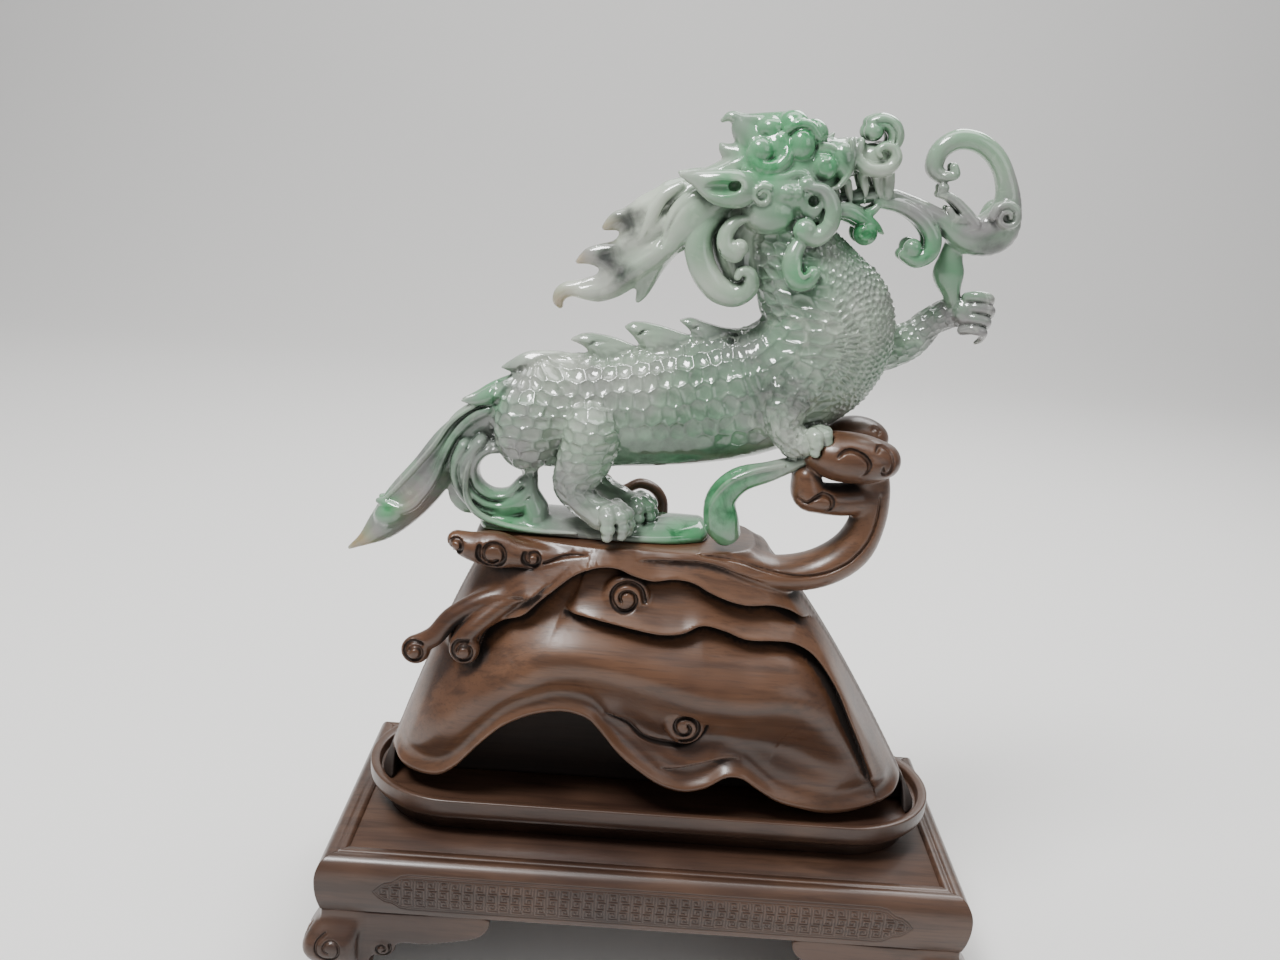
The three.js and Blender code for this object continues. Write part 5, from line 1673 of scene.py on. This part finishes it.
class Rockwork:
    """The carved hardwood rockwork, one block."""

    TRIANGLES = 180000
    CELL = 0.7
    LIP = 3.2  # how far the skirt's lower edge stands out
    PLAIN_FOOT = 26  # the height over which the folds grow out of the plain foot
    JADE_GAP = 0.5

    def ends(self, share: np.ndarray) -> tuple[np.ndarray, np.ndarray, np.ndarray]:
        """Gives the left end, right end and half depth at a share of the height."""
        spread = (1 - share) ** 0.78
        left = ROCK_ENDS[0] + (-ROCK_FOOT[0] - ROCK_ENDS[0]) * spread
        right = ROCK_ENDS[1] + (ROCK_FOOT[0] - ROCK_ENDS[1]) * spread
        deep = ROCK_WAIST + (ROCK_FOOT[1] - ROCK_WAIST) * (1 - share**2.2)
        return left, right, deep

    def build(self) -> bpy.types.Object:
        """Sculpts the rockwork.

        Returns:
            The finished object.
        """
        clay = Clay((-148, -56, -ROCK_HEIGHT), (148, 56, 70), voxel(self.CELL))
        self.body(clay)
        self.limbs(clay)
        self.carving(clay)
        self.seats(clay)
        skin = Skin(*clay.surface())
        skin.points[:, 2] += ROCK_TOP
        made = skin.mesh("rockwork")
        thin(made, self.TRIANGLES)
        self.tint(made, clay)
        return made

    def skirt(self, x: np.ndarray) -> np.ndarray:
        """Gives the height of the skirt's lower edge at each x."""
        curve = smooth_rows([(a, 0, b) for a, b in SKIRT], 6)
        return np.interp(x, curve[:, 0], curve[:, 2])

    def relief(self, x: np.ndarray, z: np.ndarray) -> np.ndarray:
        """Gives how far the folds stand out of the plain body.

        Args:
            x: X of the points.
            z: Height of the points, 0 at the top.

        Returns:
            Millimetres outwards.
        """
        out = sum(form.relief(x, z) for form in (*FOLDS, *RIDGES))
        above = z - self.skirt(x)
        lip = self.LIP * np.exp(-((above / 3.4) ** 2))
        valley = 1.6 * np.exp(-(((above - 9) / 5) ** 2))
        out += np.where(above > 0, lip - valley, self.LIP)
        return out * smoothstep(-ROCK_HEIGHT, -ROCK_HEIGHT + self.PLAIN_FOOT, z)

    def body(self, clay: Clay) -> None:
        """Fills the block between the front and back faces.

        Args:
            clay: The block.
        """
        x, y, z = clay.axes
        share = np.clip(1 + z / ROCK_HEIGHT, 0, 1)[None, :]
        left, right, deep = self.ends(share)
        middle, half = (left + right) / 2, (right - left) / 2
        reach = np.abs((x[:, None] - middle) / half)
        bow = np.abs(1 - np.minimum(reach, 1.4) ** ROCK_SQUARENESS) ** (1 / ROCK_SQUARENESS)
        plain = deep * np.sign(1 - reach) * bow
        end_slope = (reach - 1) * half
        carved = np.where(reach < 1, self.relief(x[:, None], z[None, :]), 0)
        face = plain + carved * (1 - smoothstep(0.93, 1.0, reach))
        gx, gz = np.gradient(face, clay.voxel)
        steep = np.sqrt(1 + np.minimum(gx**2 + gz**2, 12))[:, None, :]
        whole = (np.abs(y)[None, :, None] - face[:, None, :]) / steep
        whole = np.maximum(whole, end_slope[:, None, :] * 0.7)
        whole = np.maximum(whole, z[None, None, :])
        whole = np.maximum(whole, (-ROCK_HEIGHT - z)[None, None, :])
        cave = np.maximum(z[None, None, :] - (self.skirt(x)[:, None, None] - 1.5),
            y[None, :, None] - CAVE_BACK)
        cave = np.maximum(cave, np.abs(x)[:, None, None] - CAVE_END)
        whole = -soft_min(-whole, cave, 2.5)
        clay.field[:] = np.clip(whole, -FAR, FAR)

    def limbs(self, clay: Clay) -> None:
        """Adds the arm, the caps, the cloud scrolls and the spirals.

        Args:
            clay: The block.
        """
        figure = Figure(clay)
        figure.limb([(-92, 0, -6, 26, 5.5), (-60, 0, -6.5, 27, 6.2), (-20, 0, -6.5, 27, 6.2),
            (20, 0, -6.5, 27, 6), (48, 0, -8, 24, 5.5)], 3)
        figure.limb([(8, -12, -7, 14, 4.5), (32, -14, -9, 14, 7), (56, -15, -12, 14, 8),
            (76, -15, -8, 13, 9.5), (91, -15, 3, 12, 10), (97.5, -14, 18, 11, 9), (98, -13, 34, 11, 9),
            (94, -12, 46, 11, 10)], 3)
        figure.limb([(70, -20, 53, 12, 9.5), (78, -21, 52, 15, 12), (90, -21, 51.4, 15, 11.6),
            (98, -20, 51, 13, 9.4), (100, -20, 51, 12, 8.6)], 1.5)
        figure.ball((90, 4, 56, 16.5, 14, 10.5))
        figure.limb([(64, -18, 40, 10, 7), (66.4, -19, 32, 11, 8.6), (71, -19, 30, 11, 7.6),
            (82, -17, 29, 10, 8), (94, -15, 30, 9, 8)], 2)
        figure.limb([(-122, -31, -58, 5, 5), (-113, -32, -52, 6, 5), (-105, -31, -42, 6, 5),
            (-90, -30, -32, 6, 5), (-72, -27, -26, 6, 5)], 2)
        figure.limb([(-99, -37, -52, 6, 5), (-93, -36, -44, 6, 5), (-84, -33, -36, 6, 5),
            (-72, -30, -27, 6, 5), (-60, -27, -18, 5, 5)], 2)
        figure.limb([(-104, -26, -3, 7, 5), (-96, -27, -5, 8, 7), (-85, -28, -5.5, 9, 9),
            (-74, -27.5, -7, 8, 7), (-65, -27, -7.5, 8, 6), (-44, -26, -8, 6, 4.5)], 2)
        figure.limb([(-38, 30, 2, 5, 5), (-34, 34, 16, 3.6, 2.6), (-30, 35, 9.5, 3.6, 2.6),
            (-24, 35, 10.5, 3.6, 2.6), (-16, 35, 14.5, 3.6, 2.8), (-8, 35, 12, 3.6, 2.8),
            (-3.6, 34, 6, 4, 3), (-4, 31, -6, 5, 4)], 1.5)
        for x, y, z, radius in ((-122, -33, -59.6, 7.2), (-97, -38, -55, 7.6)):
            figure.ball((x, y, z, radius, 5.6, radius), 1.5)

    def carving(self, clay: Clay) -> None:
        """Engraves the spirals, the caps' crescents and the lines that follow the folds.

        Args:
            clay: The block.
        """
        for x, z, radius, start, turns, boss in SPIRALS:
            clay.add(Ball((x, clay.front(x, z) + 1.2, z), (radius * 1.02, boss + 1.2, radius * 1.02)), 2)
            clay.engrave(curl_rows((x, 0, z), radius * 0.82, 1.3, start, turns, 3.2, 0.72))
        for x, z, radius, start, turns in ((-105, -3.4, 4.6, 0.45, 1.2), (-86, -5.8, 7.6, 0.42, 1.45),
                (-66.5, -7.2, 4.6, 0.4, 1.2), (-123.2, -60, 5.6, 0.15, 1.3), (-98, -55.6, 6, 0.2, 1.3)):
            clay.engrave(curl_rows((x, 0, z), radius, 1.35, start, turns, 3.2, 0.52))
        for line in ([(-26, 0, -85, 1, 0.5), (-14, 0, -90.6, 2.4, 0.9), (-6.5, 0, -97.8, 3, 1.2),
                (4.6, 0, -101, 3, 1.3), (15.4, 0, -100.2, 3, 1.3), (23.6, 0, -94, 2.6, 1.1),
                (26, 0, -86, 1.6, 0.7)],
                [(-60.9, 0, -9, 2, 0.8), (-50, 0, -5, 2.4, 0.9), (-40, 0, -3.6, 1, 0.4)],
                [(-94, 0, -14.6, 1, 0.5), (-84, 0, -15, 2, 0.9), (-74, 0, -13.6, 1.6, 0.8),
                (-66, 0, -13, 1, 0.4)],
                [(76.6, 0, 55.4, 1.6, 0.7), (78.6, 0, 57.6, 2.4, 0.9), (82, 0, 58.8, 2.6, 1.1),
                (86, 0, 58, 2.6, 1.2), (89.6, 0, 56, 2.6, 1.3), (91.8, 0, 53, 2.6, 1.2),
                (91.4, 0, 49.8, 2, 0.9), (89, 0, 47, 1.2, 0.5)],
                [(95.2, 0, 58.6, 1.6, 0.9), (96.6, 0, 60.2, 2, 1), (99.4, 0, 60, 2, 1),
                (102.2, 0, 57.6, 2, 1), (103.6, 0, 54, 2, 1), (103.4, 0, 50.4, 2, 1.1),
                (101.4, 0, 48, 2, 1.1), (99, 0, 48.8, 2, 1.1), (98.8, 0, 51, 1.6, 0.9)],
                [(60.4, 0, 31.2, 1.2, 0.5), (65, 0, 30, 2, 0.9), (68.6, 0, 32.6, 2.4, 1.1),
                (73, 0, 34.4, 2.6, 1.2), (77, 0, 32.4, 2.6, 1.3), (77.6, 0, 28.8, 2.4, 1.2),
                (75.4, 0, 26, 1.6, 0.8)],
                [(16, 0, -0.6, 1, 0.4), (34.8, 0, -3.4, 1.6, 0.7), (45.8, 0, -6.6, 2, 0.8),
                (56.5, 0, -8.6, 2, 0.8), (69, 0, -8.6, 2, 0.8), (80.6, 0, -5.4, 2, 0.8),
                (91, 0, 1.6, 2, 0.8), (98.4, 0, 12, 2, 0.8), (101, 0, 22, 2, 0.8),
                (101.4, 0, 34, 1.6, 0.6)],
                [(96.4, 0, 62, 1, 0.6), (98.4, 0, 63.6, 1.6, 0.8), (101, 0, 62, 1.6, 0.8),
                (99.8, 0, 60.4, 1.2, 0.6)]):
            clay.engrave(line)

    def seats(self, clay: Clay) -> None:
        """Cuts the places where the jade's foreleg, paw and leaf lie, with a little room round them.

        Args:
            clay: The block.
        """
        copy = Clay((10, -40, -10), (100, 0, 110), clay.voxel)
        body = Body(copy)
        body.leaf()
        body.foreleg()
        lift = (0, 0, JADE_FLOOR - ROCK_TOP)
        offset = [int(round((copy.axes[i][0] + lift[i] - clay.axes[i][0]) / clay.voxel)) for i in range(3)]
        size = [min(copy.field.shape[i], clay.field.shape[i] - offset[i]) for i in range(3)]
        start = [max(0, -o) for o in offset]
        mine = tuple(slice(o + s, o + n) for o, s, n in zip(offset, start, size))
        theirs = tuple(slice(s, n) for s, n in zip(start, size))
        clay.field[mine] = np.maximum(clay.field[mine], self.JADE_GAP - copy.field[theirs])

    def tint(self, made: bpy.types.Object, clay: Clay) -> None:
        """Keeps painted shade in hollows and the cave, and edges lightened by wear and painted highlight.

        Args:
            made: The thinned rockwork.
            clay: The block that it was cut from.
        """
        points = read_points(made)
        points[:, 2] -= ROCK_TOP
        hollow, sharp = clay.shading(points, 5.0)
        x, y, z = points.T
        # Painted shade: the inside of the cave under the skirt is painted near black.
        cave = smoothstep(0, 3, self.skirt(x) - z) * smoothstep(-40, -34, y) * (y < 0)
        # Painted shade in the hollows and the cave.
        paint(made, "cavity", np.maximum(smoothstep(0.25, 0.95, hollow), cave))
        # Lighter sharp edges: partly rubbed wear, partly painted highlight.
        paint(made, "edge", smoothstep(0.35, 0.95, sharp))


# The tray and the display stand


def loft(rings: Sequence[np.ndarray]) -> Skin:
    """Joins closed rings of points by a skin, and closes both ends by a fan.

    Args:
        rings: Rings with the same count of points.

    Returns:
        The skin, of triangles.
    """
    sides = len(rings[0])
    around = np.arange(sides)
    after = (around + 1) % sides
    faces = []
    for row in range(len(rings) - 1):
        low, low_next = row * sides + around, row * sides + after
        faces.append(np.stack([low, low_next, low_next + sides], 1))
        faces.append(np.stack([low, low_next + sides, low + sides], 1))
    first, last = len(rings) * sides, (len(rings) - 1) * sides
    faces.append(np.stack([np.full(sides, first), after, around], 1))
    faces.append(np.stack([np.full(sides, first + 1), last + around, last + after], 1))
    points = [*rings, rings[0].mean(axis=0)[None], rings[-1].mean(axis=0)[None]]
    return Skin(np.concatenate(points), np.concatenate(faces))


def rounded(corners: Sequence[tuple[float, float, float]], steps: int = 5) -> np.ndarray:
    """Rounds the corners of an outline.

    Args:
        corners: Rows of two coordinates and the corner's radius; the ends aren't rounded.
        steps: How many steps each round gets.

    Returns:
        Rows of two coordinates.
    """
    made = [np.array(corners[0][:2])]
    for before, here, after in zip(corners, corners[1:], corners[2:]):
        point = np.array(here[:2])
        back = np.array(before[:2]) - point
        on = np.array(after[:2]) - point
        cut = min(here[2], np.linalg.norm(back) * 0.49, np.linalg.norm(on) * 0.49)
        start = point + back / np.linalg.norm(back) * cut
        end = point + on / np.linalg.norm(on) * cut
        for t in np.linspace(0, 1, steps + 1):
            made.append(start * (1 - t) ** 2 + point * 2 * t * (1 - t) + end * t**2)
    made.append(np.array(corners[-1][:2]))
    return np.array(made)


@dataclass(frozen=True)
class Tray:
    """The oval dished tray with its raised rim and recessed foot."""

    length: float = 303.2
    depth: float = 98.0
    height: float = 22.0
    rim: float = 5.0
    sink: float = 6.0
    foot_height: float = 9.0
    foot_inset: float = 10.0
    floor: float = 72.0

    def build(self) -> bpy.types.Object:
        """Lofts the tray.

        Returns:
            The finished object.
        """
        wall = self.height - self.foot_height
        profile = rounded(
            [
                (self.foot_inset, 0.3, 0),
                (self.foot_inset, self.foot_height * 0.9, 1.5),
                (self.rim * 0.55, self.foot_height + wall * 0.08, 2.5),
                (0, self.foot_height + wall * 0.35, 3.0),
                (0, self.height - 0.2, 1.2),
                (self.rim * 0.35, self.height, 1.6),
                (self.rim, self.height - 0.9, 1.0),
                (self.rim + 0.2, self.height - self.sink, 1.2),
                (self.rim + 6, self.height - self.sink, 0),
            ]
        )
        rings = [self.ring(inset, z + self.floor) for inset, z in profile]
        made = loft(rings).mesh("tray")
        high = read_points(made)[:, 2] - self.floor
        # Painted highlight along the top of the rim.
        paint(made, "edge", np.exp(-((high - self.height) ** 2) / 0.8) * 0.8)
        paint(made, "cavity", np.zeros(len(high)))
        return made

    def ring(self, inset: float, z: float) -> np.ndarray:
        """Lays a closed loop round the tray.

        Args:
            inset: How far it stands inside the tray's edge.
            z: Its height.

        Returns:
            Rows of x, y and z.
        """
        radius = self.depth / 2 - inset
        straight = (self.length - self.depth) / 2
        turn = np.linspace(-math.pi / 2, math.pi / 2, 49)
        right = np.stack([straight + radius * np.cos(turn), radius * np.sin(turn)], 1)
        left = -right
        run = np.linspace(0, 1, 40)[1:-1, None]
        top = right[-1] * (1 - run) + left[0] * run
        bottom = left[-1] * (1 - run) + right[0] * run
        flat = np.concatenate([right, top, left, bottom])
        return np.column_stack([flat, np.full(len(flat), z)])


@dataclass(frozen=True)
class Fret:
    """A sunk panel of squared spirals between two engraved outlines, laid along a rail's face."""

    half_length: float
    middle: float = -15.6
    half_height: float = 10.2
    shoulder: float = 17.8  # how far from its tips the panel reaches its full height
    stroke: float = 0.75
    sink: float = 0.45
    line: float = 0.5
    END = ((0, 0.16, 0.33, 0.55, 0.78, 1.0), (0, 0.32, 0.55, 0.64, 0.93, 1.0))  # shares of the shoulder
    TILE = (
        "#######.",
        "#.....#.",
        "#.###.#.",
        "#.#.#.#.",
        "#.#...#.",
        "#.#####.",
        "#.......",
    )

    def depth(self, x: np.ndarray, z: np.ndarray) -> np.ndarray:
        """Gives how deep the face is cut.

        Args:
            x: The way along the rail from its middle.
            z: Height under the rail's top.

        Returns:
            Millimetres inwards.
        """
        run = self.half_length - np.abs(x)
        tall = self.half_height * np.interp(run / self.shoulder, *self.END)
        inside = np.where(run > 0, np.minimum(tall - np.abs(z - self.middle), run), -9.0)
        lines = np.exp(-(((inside - 0.3) / 0.32) ** 2)) + 0.8 * np.exp(-(((inside - 1.7) / 0.3) ** 2))
        rows, columns = len(self.TILE), len(self.TILE[0])
        column = np.floor(x / self.stroke).astype(int)
        row = np.floor((z - self.middle) / self.stroke).astype(int) + 3
        tile = np.floor(column / columns).astype(int)
        band = np.floor(row / rows).astype(int)
        across = np.mod(column, columns)
        across = np.where(np.mod(tile + band, 2) == 0, across, columns - 2 - across) % columns
        down = np.where(np.mod(tile, 2) == 0, np.mod(row, rows), rows - 1 - np.mod(row, rows))
        raised = np.array([[mark == "#" for mark in marks] for marks in self.TILE])[down, across]
        ground = np.where(raised, 0.0, self.sink) * smoothstep(2.3, 2.7, inside)
        return lines * self.line + ground


@dataclass(frozen=True)
class Rail:
    """A mitred rail of the display stand with a round nose and a fret along its face."""

    name: str
    length: float
    offset: float
    turn: float
    fret: Fret
    top: float = 72.0
    height: float = 29.0
    width: float = 14.0
    flat: float = 7.0
    undercut: float = 2.5
    step: float = 0.375
    mitre_gap: float = 0.22

    def profile(self) -> np.ndarray:
        """Gives the outline across the rail: inset from the stand's edge and height under its top."""
        tall = self.height * 0.42
        start = 0.5
        nose = [(self.flat * (1 - math.sin(t)),
            -tall * (1 - math.cos(t))) for t in np.linspace(0, start, 6)]
        for z in np.arange(tall * (1 - math.cos(start)) + self.step, self.height, self.step):
            sine = math.sqrt(max(0.0, 1 - (1 - min(z / tall, 1)) ** 2))
            tuck = self.undercut * max(0.0, (z / self.height - 0.45) / 0.55) ** 2
            nose.append((self.flat * (1 - sine) + tuck, -z))
        top = [(self.width, 0.0), (self.flat + 3.2, 0), (self.flat + 2.6, -0.8), (self.flat + 2.0, 0)]
        return np.array([*top, *nose, (self.undercut, -self.height), (self.width, -self.height)])

    def build(self) -> bpy.types.Object:
        """Lofts the rail.

        Returns:
            The finished object.
        """
        profile = self.profile()
        count = int(self.length / self.step / (1))
        rings = []
        for share in np.linspace(-1, 1, count):
            x = share * (self.length / 2 - profile[:, 0] - self.mitre_gap)
            sunk = np.where(profile[:, 0] < self.flat, self.fret.depth(x, profile[:, 1]), 0)
            rings.append(np.stack([x, profile[:, 0] + sunk - self.offset, profile[:, 1] + self.top], 1))
        skin = loft(rings)
        c, s = math.cos(self.turn), math.sin(self.turn)
        skin.points = skin.points @ np.array([[c, s, 0], [-s, c, 0], [0, 0, 1]])
        made = skin.mesh(self.name)
        z = read_points(made)[:, 2] - self.top
        sunk = np.concatenate([r[:, 1] + self.offset - profile[:, 0] for r in rings] + [np.zeros(2)])
        # Painted highlight along the rail's rounded nose.
        paint(made, "edge", 0.25 * np.exp(-((z + 5) ** 2) / 20))
        # Painted shade in the fret's sunk ground.
        paint(made, "cavity", np.clip(sunk / 0.5, 0, 1) * 0.3)
        return made


@dataclass(frozen=True)
class BracketFoot:
    """A bracket foot: a bulging leg with a volute at its knee and a scroll edged board along each side."""

    name: str
    right: int
    back: int
    top: float = 42.4
    post: float = 26.0
    bulge: float = 9.0
    board: float = 11.0
    reach: tuple[float, float] = (85.0, 52.0)
    corner: tuple[float, float] = (161.5, 73.0)
    knee: tuple[float, float] = (6.0, 40.0)  # where the leg's swell starts and ends
    TRIANGLES = 24000
    CELL = 0.55

    def wing(self, reach: float, cell: float) -> Clay:
        """Sculpts the board along one side, with its scroll, as if it were the front one.

        Args:
            reach: The board's length from the corner.
            cell: Spacing of the grid.

        Returns:
            The clay, with the corner at the origin.
        """
        clay = Clay((-11, -11, 0), (88, 88, self.top), cell)
        top = self.top
        tip = 0.8 * reach
        outline = [(1, top - 0.2), (1, top * 0.5), (3, 8), (12, 8), (self.post - 1, 9), (self.post - 1, 15),
            (self.post + 2, 17.5), (self.post + 6, 18.4), (self.post + 10, 21), (self.post + 13, 24.6),
            (tip * 0.8, 25.4), (tip, 28), (0.93 * reach, 31), (0.99 * reach, 36), (reach - 0.6, top - 0.2),
            (reach * 0.5, top)]
        clay.add(Slab(outline, self.board / 2 - 0.6, self.board / 2, 1.5, self.board / 2), 0)
        clay.add(Ball((self.post + 5.5, 3.0, 21.6), (6.2, 4.4, 5.6)), 1.5)
        return clay

    def sculpt(self) -> Clay:
        """Joins both boards and the leg.

        Returns:
            The clay, with the corner at the origin.
        """
        cell = voxel(self.CELL)
        clay = self.wing(self.reach[0], cell)
        side = self.wing(self.reach[1], cell)
        clay.field = soft_min(clay.field, side.field.transpose(1, 0, 2), 1.0)
        x, y, z = clay.axes
        low, high = self.knee
        swell = self.bulge * np.maximum(np.sin(math.pi * np.clip((z - low) / (high - low), 0, 1)), 0) ** 1.3
        half = 11.5 + 0.28 * swell
        middle = half - swell + 0.4
        across = np.abs(x[:, None] - middle[None, :]) / half
        along = np.abs(y[:, None] - middle[None, :]) / half
        square = (across[:, None, :] ** 4 + along[None, :, :] ** 4) ** 0.25
        leg = np.maximum((square - 1) * half, np.maximum(-z, z - self.top)[None, None, :])
        clay.field = np.clip(soft_min(clay.field, leg.astype(np.float32), 2.5), -FAR, FAR)
        return clay

    def carve(self, clay: Clay) -> Clay:
        """Engraves the volute and the scroll on the front.

        Args:
            clay: The foot.

        Returns:
            The same clay.
        """
        clay.engrave(curl_rows((6.5, 0, 25), 7.6, 0.8, 0.3, 1.4, 1.5, 0.72), 0.5)
        clay.engrave(curl_rows((self.post + 5.5, 0, 21.6), 4.4, 0.8, 0.1, -1.3, 1.8, 0.75), 0.4)
        return clay

    def build(self) -> bpy.types.Object:
        """Sculpts the foot and turns it to its corner.

        Returns:
            The finished object.
        """
        clay = self.carve(self.sculpt())
        clay.field = np.ascontiguousarray(clay.field.transpose(1, 0, 2))
        self.carve(clay)
        clay.field = np.ascontiguousarray(clay.field.transpose(1, 0, 2))
        points, faces = clay.surface()
        turn = np.array([-self.right, -self.back, 1])
        shift = np.array([self.corner[0] * self.right, self.corner[1] * self.back, 0])
        if self.right * self.back < 0:
            faces = faces[:, ::-1]
        made = Skin(points * turn + shift, faces).mesh(self.name)
        thin(made, self.TRIANGLES)
        hollow, sharp = clay.shading((read_points(made) - shift) * turn, 3.0)
        # Painted shade in the hollows.
        paint(made, "cavity", smoothstep(0.3, 0.95, hollow))
        # Lighter sharp edges: partly rubbed wear, partly painted highlight.
        paint(made, "edge", smoothstep(0.35, 0.95, sharp) * 0.6)
        return made


@dataclass(frozen=True)
class Panel:
    """The flat panel that the rails hold."""

    length: float = 299.4
    depth: float = 122.4
    thickness: float = 12.0
    top: float = 71.4

    def build(self) -> bpy.types.Object:
        """Lofts the panel.

        Returns:
            The finished object.
        """
        rings = []
        for inset, z in ((0, -self.thickness), (0, -0.6), (0.6, 0)):
            x, y = self.length / 2 - inset, self.depth / 2 - inset
            rings.append(np.array([(-x, -y, z), (x, -y, z), (x, y, z), (-x, y, z)]) + (0, 0, self.top))
        made = loft(rings).mesh("panel")
        for name in ("edge", "cavity"):
            paint(made, name, np.zeros(len(made.data.vertices)))
        return made


# The studio


class Studio:
    """Floor, lights and camera."""

    IMAGE = (1280, 960)
    FOCAL = 1200.0  # in pixels of the photograph
    PITCH, YAW, ROLL = 16.4, 0.4, 4.15
    PLACE = (-20.6, -587.0, 429.2)
    SENSOR = 36.0

    def floor(self) -> None:
        """Makes the plain pale floor, which curves up behind without an edge."""
        near, far, bend, height, half = -4.0, 1.6, 1.4, 4.0, 6.0
        line = [(near, 0.0), (far, 0.0)]
        line += [(far + bend * math.sin(t),
            bend * (1 - math.cos(t))) for t in np.linspace(0.06, math.pi / 2, 24)]
        line.append((far + bend, height))
        corners = [(x, y, z) for y, z in line for x in (-half, half)]
        faces = [(2 * i, 2 * i + 1, 2 * i + 3, 2 * i + 2) for i in range(len(line) - 1)]
        mesh = bpy.data.meshes.new("floor")
        mesh.from_pydata(corners, [], faces)
        mesh.shade_smooth()
        floor = bpy.data.objects.new("floor", mesh)
        bpy.context.scene.collection.objects.link(floor)
        dress(floor, Plain("floor", (0.8, 0.79, 0.77), 0.7).material())

    def light(self, name: str, place: Row, aim: Row, size: float, power: float,
            colour: Colour = (1, 1, 1)) -> None:
        """Adds a soft area light.

        Args:
            name: Its name.
            place: Where it stands, in metres.
            aim: What it points at.
            size: Its side.
            power: Its power in watts.
            colour: Its colour.
        """
        data = bpy.data.lights.new(name, "AREA")
        data.size = size
        data.energy = power
        data.color = colour
        lamp = bpy.data.objects.new(name, data)
        lamp.location = place
        lamp.rotation_mode = "QUATERNION"
        lamp.rotation_quaternion = (Vector(aim) - Vector(place)).to_track_quat("-Z", "Y")
        bpy.context.scene.collection.objects.link(lamp)

    def lights(self) -> None:
        """Adds the lights and the pale surroundings."""
        world = bpy.data.worlds.new("studio")
        bpy.context.scene.world = world
        world.use_nodes = True
        background = world.node_tree.nodes["Background"]
        background.inputs["Color"].default_value = (0.95, 0.96, 1.0, 1)
        background.inputs["Strength"].default_value = 0.3
        aim = (0, 0, 0.25)
        self.light("key", (-0.5, -0.55, 1.5), aim, 0.42, 28)
        self.light("fill", (1.1, -1.0, 0.9), aim, 0.9, 3.5)
        self.light("rim", (0.5, 0.9, 1.3), aim, 0.7, 12)
        self.light("wall", (0, 0.4, 2.2), (0, 2.6, 0.6), 2.0, 55)

    def camera(self) -> None:
        """Sets the camera at the photograph's angle."""
        pitch, yaw, roll = (math.radians(a) for a in (self.PITCH, self.YAW, self.ROLL))
        forward = Vector((math.sin(yaw) * math.cos(pitch), math.cos(yaw) * math.cos(pitch),
            -math.sin(pitch)))
        level = Vector((math.cos(yaw), -math.sin(yaw), 0))
        upright = level.cross(forward)
        right = level * math.cos(roll) + upright * math.sin(roll)
        up = upright * math.cos(roll) - level * math.sin(roll)
        data = bpy.data.cameras.new("camera")
        data.sensor_width = self.SENSOR
        data.lens = self.SENSOR * self.FOCAL / self.IMAGE[0]
        data.clip_start = 0.05
        camera = bpy.data.objects.new("camera", data)
        turn = Matrix((right, up, -forward)).transposed()
        camera.matrix_world = Matrix.Translation(Vector(self.PLACE) * MM) @ turn.to_4x4()
        bpy.context.scene.collection.objects.link(camera)
        bpy.context.scene.camera = camera


def place(made: bpy.types.Object, material: bpy.types.Material, slot: str, *nodes: str) -> None:
    """Dresses a piece and ties it to the CAD nodes that it stands for.

    Args:
        made: The piece.
        material: Its material.
        slot: The record's material slot; not used.
        nodes: The CAD nodes that it replaces.
    """
    dress(made, material)
    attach(made, "root")
    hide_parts(*nodes)
    log.info("%s: %d faces for %s", made.name, len(made.data.polygons), ", ".join(nodes))


def main() -> None:
    """Builds every piece and the studio."""
    logging.basicConfig(level=logging.INFO, format="%(message)s")
    rosewood = Rosewood("rosewood", (0.022, 0.009, 0.005), (0.062, 0.026, 0.0125),
        (0.125, 0.059, 0.03)).material()
    darkwood = Rosewood("dark_rosewood", (0.018, 0.009, 0.006), (0.042, 0.021, 0.014), (0.08, 0.042, 0.026),
        0.6).material()
    place(Qilin().build(), Jade().material(), "jade", "jade_qilin")
    place(Rockwork().build(), rosewood, "rosewood", "rockwork_stand")
    place(Tray().build(), darkwood, "dark_rosewood", "oval_tray")
    place(Panel().build(), darkwood, "dark_rosewood", "stand_panel")
    long_fret, short_fret = Fret(134.8), Fret(52.0)
    for rail in (
        Rail("rail_front", 328, 75.5, 0, long_fret),
        Rail("rail_back", 328, 75.5, math.pi, long_fret),
        Rail("rail_right", 151, 164, math.pi / 2, short_fret),
        Rail("rail_left", 151, 164, -math.pi / 2, short_fret),
    ):
        place(rail.build(), darkwood, "dark_rosewood", "stand_" + rail.name)
    for end, back in (("front", -1), ("back", 1)):
        for hand, right in (("left", -1), ("right", 1)):
            foot = BracketFoot(f"foot_{end}_{hand}", right, back)
            place(foot.build(), darkwood, "dark_rosewood", f"bracket_foot_{end}_{hand}")
    studio = Studio()
    studio.floor()
    studio.lights()
    studio.camera()


if __name__ == "__main__":
    main()
